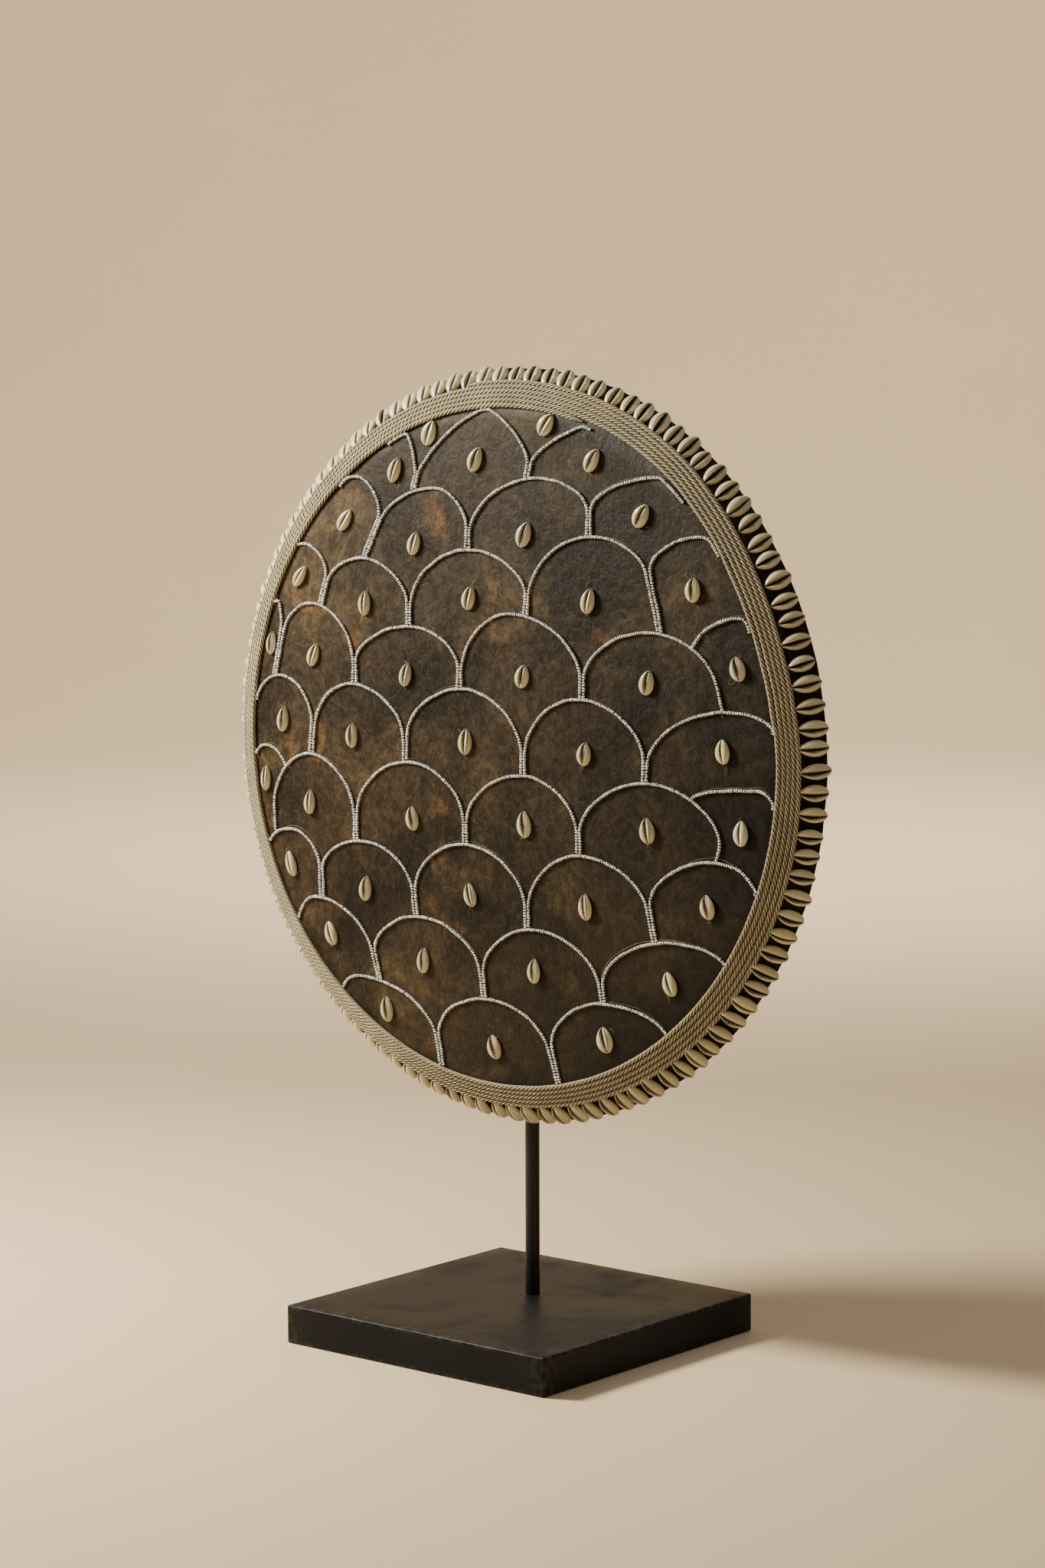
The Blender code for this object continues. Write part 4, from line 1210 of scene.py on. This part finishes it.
# Loose threads
def thread_tree():
    """A thin round section swept along every route."""
    tree, ins, outs = growth_tree("Threads", (("Thickness", "NodeSocketFloat", 0.0003),))
    section = add_node(tree, "GeometryNodeCurvePrimitiveCircle", Resolution=3,
                       Radius=math_node(tree, "MULTIPLY", ins["Thickness"], 0.5))
    sweep = add_node(tree, "GeometryNodeCurveToMesh", Curve=ins["Geometry"],
                     Profile_Curve=section.outputs[0], Fill_Caps=True)
    close_tree(tree, outs, sweep.outputs[0], ins["Material"])
    return tree


def stray(pick, start, heading, length, steps):
    """A thread that wanders over the face from a place, as points of x, z and height."""
    points = [(start[0], start[1], 0.0)]
    bend = pick.uniform(-0.6, 0.6)
    for n in range(steps):
        heading += bend + pick.uniform(-0.35, 0.35)
        x, z, _ = points[-1]
        x += math.cos(heading) * length / steps
        z += math.sin(heading) * length / steps
        points.append((x, z, THREAD_RISE * math.sin(math.pi * (n + 1) / steps)))
    return points


def beside(pick, route):
    """A thread drawn tight along part of a string, a little outside it."""
    first = pick.randrange(5, max(6, len(route) - 60))
    last = min(first + pick.randrange(35, 80), len(route) - 2)
    away = pick.uniform(0.0018, 0.0034)
    points = []
    for n in range(first, last, 5):
        ahead = (route[n + 1] - route[n]).normalized()
        share = (n - first) / max(last - first, 1)
        off = away * (0.35 + 0.65 * math.sin(math.pi * share)) + pick.uniform(-0.0003, 0.0003)
        points.append((route[n][0] - ahead[1] * off, route[n][1] + ahead[0] * off, 0.0001))
    return points


def make_threads(settings):
    pick = random.Random(31)
    routes = string_routes(settings.bead_diameter)
    threads = []
    for x, z, lean in SHELLS:
        place = laid(x, z)
        for n in range(pick.choice((1, 2, 2, 3))):
            end = pick.choice((-1, -1, 1))
            start = (place[0] + pick.uniform(-0.004, 0.004), place[1] + end * pick.uniform(0.0075, 0.0090))
            threads.append(stray(pick, start, pick.uniform(0, 2 * math.pi), pick.uniform(0.003, 0.008), 7))
    for (row, i), route in sorted(routes.items()):
        for end in (route[0], route[-1]):
            if pick.random() < 0.7:
                threads.append(stray(pick, end, pick.uniform(0, 2 * math.pi), pick.uniform(0.003, 0.007), 6))
        for n in range(pick.choice((0, 1, 1, 2))):
            threads.append(beside(pick, route))
    fray = FACE_R + 0.0005
    for n in range(FRAYED_ENDS):
        angle = TWINE_START - TWINE_OVERLAP + math.radians(pick.uniform(-0.5, 2.0))
        start = (fray * math.cos(angle), fray * math.sin(angle))
        heading = angle - math.pi / 2 + pick.uniform(-0.5, 0.3)
        threads.append(stray(pick, start, heading, pick.uniform(0.006, 0.014), 6))
    inside = FACE_R - 0.001
    lines = []
    for thread in threads:
        line = []
        for x, z, height in thread:
            away = math.hypot(x, z)
            hold = min(1.0, inside / max(away, 1e-9))
            line.append(on_shield(x * hold, z * hold, face_depth(away * hold) - 0.0004 - height))
        if len(line) > 2:
            lines.append(line)
    loose = grown(poly_curve("thread_route", lines), thread_tree(), {"Thickness": settings.thread_thickness},
                  thread_material(), "loose_threads")
    finish_piece(loose, "twisted_cord")


# Stand
def make_foot(settings):
    low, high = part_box("base_plate")
    bm = bmesh.new()
    bmesh.ops.create_cube(bm, size=1.0, matrix=Matrix.Translation((low + high) / 2)
                          @ Matrix.Diagonal((*(high - low), 1)))
    bmesh.ops.bevel(bm, geom=bm.edges, offset=settings.foot_edge, segments=4, profile=0.5, affect="EDGES")
    bmesh.ops.subdivide_edges(bm, edges=[e for e in bm.edges if e.calc_length() > 0.02], cuts=12,
                              use_grid_fill=True)
    mesh = mesh_from(bm, "painted_foot", math.radians(50))
    worn = mesh.attributes.new("worn", "FLOAT", "POINT")
    values = []
    for vert in mesh.vertices:
        gaps = sorted(min(vert.co[n] - low[n], high[n] - vert.co[n]) for n in range(3))
        values.append(1.0 if gaps[1] < settings.foot_edge * 1.2 else 0.0)
    worn.data.foreach_set("value", values)
    mesh.materials.append(paint_material(settings))
    finish_piece(link("painted_foot", mesh), "black_paint", "base_plate")


def make_rod(settings):
    low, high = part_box("pole")
    middle = (low + high) / 2
    radius = (high[0] - low[0]) / 2
    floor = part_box("base_plate")[1][2] - ROD_SUNK

    def place(angle, away, height):
        return Vector((middle[0] + away * math.cos(angle), middle[1] + away * math.sin(angle), height))

    profile = ((0.0, floor), (radius, floor), (radius, high[2] - ROD_EDGE), (radius - ROD_EDGE, high[2]),
               (0.0, high[2]))
    mesh = spun("black_rod", profile, 40, place)
    mesh.materials.append(bpy.data.materials["satin_steel"])
    finish_piece(link("black_rod", mesh), "black_steel", "pole")


def dress_fixings(settings):
    """The plate and screws behind the shield keep their solids and get their finishes."""
    zinc = zinc_material()
    for name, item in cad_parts.items():
        if name == "back_plate" or name.startswith("plate_screw"):
            item.data.materials.clear()
            item.data.materials.append(bpy.data.materials["satin_steel"] if name == "back_plate" else zinc)


# Studio
def make_floor(settings):
    """A pale floor that rises in a wide ring far behind everything."""
    profile = [(0.0, 0.0), (1.0, 0.0), (3.0, 0.0), (5.0, 0.0)]
    profile += [(5.0 + 3.0 * math.sin(math.radians(a)), 3.0 - 3.0 * math.cos(math.radians(a)))
                for a in range(6, 91, 6)]
    profile.append((8.0, 7.0))

    def place(angle, radius, height):
        return Vector((radius * math.cos(angle), radius * math.sin(angle), height))

    mesh = spun("pale_floor", profile, 96, place, math.radians(80))
    mesh.flip_normals()
    mesh.materials.append(floor_material(settings))
    link("pale_floor", mesh)


def add_area(name, place, target, size, colour, power):
    data = bpy.data.lights.new(name, "AREA")
    data.shape = "DISK"
    data.size = size
    data.energy = power
    data.color = colour
    item = link(name, data)
    item.location = place
    item.rotation_euler = (Vector(target) - Vector(place)).to_track_quat("-Z", "Y").to_euler()


def make_lights(settings):
    add_area("key_light", *KEY_LIGHT, settings.key_power)
    add_area("wall_light", *WALL_LIGHT, settings.wall_power)
    world = bpy.data.worlds.new("studio_air")
    world.use_nodes = True
    air = world.node_tree.nodes["Background"]
    air.inputs["Color"].default_value = AIR_COLOUR
    air.inputs["Strength"].default_value = settings.air_light
    bpy.context.scene.world = world


def make_camera():
    data = bpy.data.cameras.new("photo_camera")
    data.sensor_fit = "VERTICAL"
    data.sensor_height = 36.0
    data.lens = FOCAL_PIXELS * data.sensor_height / IMAGE_HEIGHT
    data.clip_end = 100.0
    look = Vector((-math.sin(CAMERA_YAW) * math.cos(CAMERA_PITCH),
                   math.cos(CAMERA_YAW) * math.cos(CAMERA_PITCH), -math.sin(CAMERA_PITCH)))
    level = Vector((math.cos(CAMERA_YAW), math.sin(CAMERA_YAW), 0.0))
    upright = level.cross(look)
    right = level * math.cos(CAMERA_ROLL) + upright * math.sin(CAMERA_ROLL)
    up = upright * math.cos(CAMERA_ROLL) - level * math.sin(CAMERA_ROLL)
    item = link("photo_camera", data)
    item.matrix_world = Matrix.Translation(CAMERA_AT) @ Matrix((right, up, -look)).transposed().to_4x4()
    bpy.context.scene.camera = item


# What a user can change
def length_setting(label, about, default):
    return FloatProperty(name=label, description=about, default=default, unit="LENGTH")


def colour_setting(label, about, default):
    return FloatVectorProperty(name=label, description=about, default=default, subtype="COLOR")


class ShieldSettings(bpy.types.PropertyGroup):
    """Sizes and colours of the shield's pieces."""

    hide_segments: IntProperty(name="Hide segments", description="Steps round the board",
                               default=240, min=48)
    hide_unevenness: length_setting("Hide unevenness", "Height of the hide's slow lumps", 0.0005)
    hide_dark: colour_setting("Hide dark", "Darkest brown of the hide", (0.0115, 0.0086, 0.0058))
    hide_brown: colour_setting("Hide brown", "Middle brown of the hide", (0.041, 0.0285, 0.0160))
    hide_ochre: colour_setting("Hide ochre", "Soft ochre clouds of the hide", (0.150, 0.103, 0.046))
    hide_rust: colour_setting("Hide rust", "Rubbed rusty patches of the hide", (0.20, 0.095, 0.035))
    twine_diameter: length_setting("Twine diameter", "Outer diameter of the twine", 0.0037)
    twine_lay: length_setting("Lay length", "Length of one full turn of its strands", 0.0165)
    twine_step: length_setting("Twine step", "Length between its cross sections", 0.0016)
    twine_slack: length_setting("Twine slack", "How far the winding strays", 0.0006)
    twine_strands: IntProperty(name="Twine strands", description="Strands laid together", default=4, min=2)
    twine_outline: IntProperty(name="Twine outline", description="Points round the twine",
                               default=16, min=6)
    twine_light: colour_setting("Twine light", "Colour of the fibre", (0.50, 0.440, 0.300))
    # Painted shade for the creases between the strands
    twine_crease_shade: colour_setting("Twine dark", "Colour between the strands", (0.042, 0.031, 0.018))
    rim_shell_length: length_setting("Rim shell length", "Length of a rim shell", 0.0212)
    rim_shell_width: length_setting("Rim shell width", "Width of a rim shell", 0.0123)
    rim_shell_height: length_setting("Rim shell height", "Height of a rim shell", 0.0063)
    face_shell_length: length_setting("Face shell length", "Length of a face shell", 0.0184)
    face_shell_width: length_setting("Face shell width", "Width of a face shell", 0.0117)
    face_shell_height: length_setting("Face shell height", "Height of a face shell", 0.0048)
    shell_spread: FloatProperty(name="Shell spread", description="How much the shells differ in size",
                                default=0.04, subtype="FACTOR")
    shell_ivory: colour_setting("Shell ivory", "Palest shells", (0.66, 0.63, 0.43))
    shell_warm: colour_setting("Shell warm", "Yellower shells", (0.57, 0.51, 0.31))
    bead_diameter: length_setting("Bead diameter", "Diameter of a bead", 0.0024)
    bead_pitch: length_setting("Bead pitch", "Length from bead to bead", 0.00205)
    bead_unevenness: FloatProperty(name="Bead unevenness", description="How much beads differ in size",
                                   default=0.14, subtype="FACTOR")
    bead_white: colour_setting("Bead white", "Colour of the beads", (0.93, 0.94, 0.90))
    thread_thickness: length_setting("Thread thickness", "Thickness of the loose threads", 0.0003)
    foot_edge: length_setting("Foot edge", "Rounding of the foot's edges", 0.0016)
    paint_black: colour_setting("Paint black", "Black of the stand", (0.0042, 0.0047, 0.0062))
    floor_pale: colour_setting("Floor pale", "Colour of the floor", (0.75, 0.595, 0.39))
    key_power: FloatProperty(name="Key light", description="Power of the main light",
                             default=49.0, unit="POWER")
    wall_power: FloatProperty(name="Wall light", description="Power of the light on the wall behind",
                              default=260.0, unit="POWER")
    air_light: FloatProperty(name="Air light", description="Strength of the light from all round",
                             default=0.44)


class ShieldOperator:
    """What every step of the shield shares."""

    bl_options = {"REGISTER", "UNDO"}

    def execute(self, context):
        self.make(context.scene.cowrie_shield)
        return {"FINISHED"}


class SHIELD_OT_board(ShieldOperator, bpy.types.Operator):
    """Make the board and the hide over it"""

    bl_idname = "shield.board"
    bl_label = "Hide and board"

    def make(self, settings):
        make_board(settings)


class SHIELD_OT_twine(ShieldOperator, bpy.types.Operator):
    """Wind the twine on the bevel"""

    bl_idname = "shield.twine"
    bl_label = "Wound twine"

    def make(self, settings):
        make_twine(settings)


class SHIELD_OT_rim_cowries(ShieldOperator, bpy.types.Operator):
    """Seat the cowries round the rim"""

    bl_idname = "shield.rim_cowries"
    bl_label = "Rim cowries"

    def make(self, settings):
        make_rim_cowries(settings)


class SHIELD_OT_face_cowries(ShieldOperator, bpy.types.Operator):
    """Seat the cowries on the face"""

    bl_idname = "shield.face_cowries"
    bl_label = "Face cowries"

    def make(self, settings):
        make_face_cowries(settings)


class SHIELD_OT_beads(ShieldOperator, bpy.types.Operator):
    """String the beads in their scallops"""

    bl_idname = "shield.beads"
    bl_label = "Bead strings"

    def make(self, settings):
        make_beads(settings)


class SHIELD_OT_threads(ShieldOperator, bpy.types.Operator):
    """Lay the loose threads round shells and strings"""

    bl_idname = "shield.threads"
    bl_label = "Loose threads"

    def make(self, settings):
        make_threads(settings)


class SHIELD_OT_stand(ShieldOperator, bpy.types.Operator):
    """Make the foot and rod, and finish the plate and its screws"""

    bl_idname = "shield.stand"
    bl_label = "Stand"

    def make(self, settings):
        steel_material(settings)
        make_foot(settings)
        make_rod(settings)
        dress_fixings(settings)


class SHIELD_OT_studio(ShieldOperator, bpy.types.Operator):
    """Lay the floor, light it and set the camera"""

    bl_idname = "shield.studio"
    bl_label = "Floor, light and camera"

    def make(self, settings):
        make_floor(settings)
        make_lights(settings)
        make_camera()


STEPS = (SHIELD_OT_board, SHIELD_OT_twine, SHIELD_OT_rim_cowries, SHIELD_OT_face_cowries,
         SHIELD_OT_beads, SHIELD_OT_threads, SHIELD_OT_stand, SHIELD_OT_studio)


class SHIELD_PT_panel(bpy.types.Panel):
    """Sizes, colours and steps of the cowrie shield"""

    bl_label = "Cowrie shield"
    bl_idname = "SHIELD_PT_panel"
    bl_space_type = "VIEW_3D"
    bl_region_type = "UI"
    bl_category = "Shield"

    def draw(self, context):
        settings = context.scene.cowrie_shield
        for name in ShieldSettings.__annotations__:
            self.layout.prop(settings, name)
        for step in STEPS:
            self.layout.operator(step.bl_idname)


CLASSES = (ShieldSettings, *STEPS, SHIELD_PT_panel)


def register():
    for item in CLASSES:
        bpy.utils.register_class(item)
    bpy.types.Scene.cowrie_shield = PointerProperty(type=ShieldSettings)


def unregister():
    del bpy.types.Scene.cowrie_shield
    for item in reversed(CLASSES):
        bpy.utils.unregister_class(item)


def main():
    register()
    bpy.ops.shield.board()
    bpy.ops.shield.twine()
    bpy.ops.shield.rim_cowries()
    bpy.ops.shield.face_cowries()
    bpy.ops.shield.beads()
    bpy.ops.shield.threads()
    bpy.ops.shield.stand()
    bpy.ops.shield.studio()


if __name__ == "__main__":
    main()
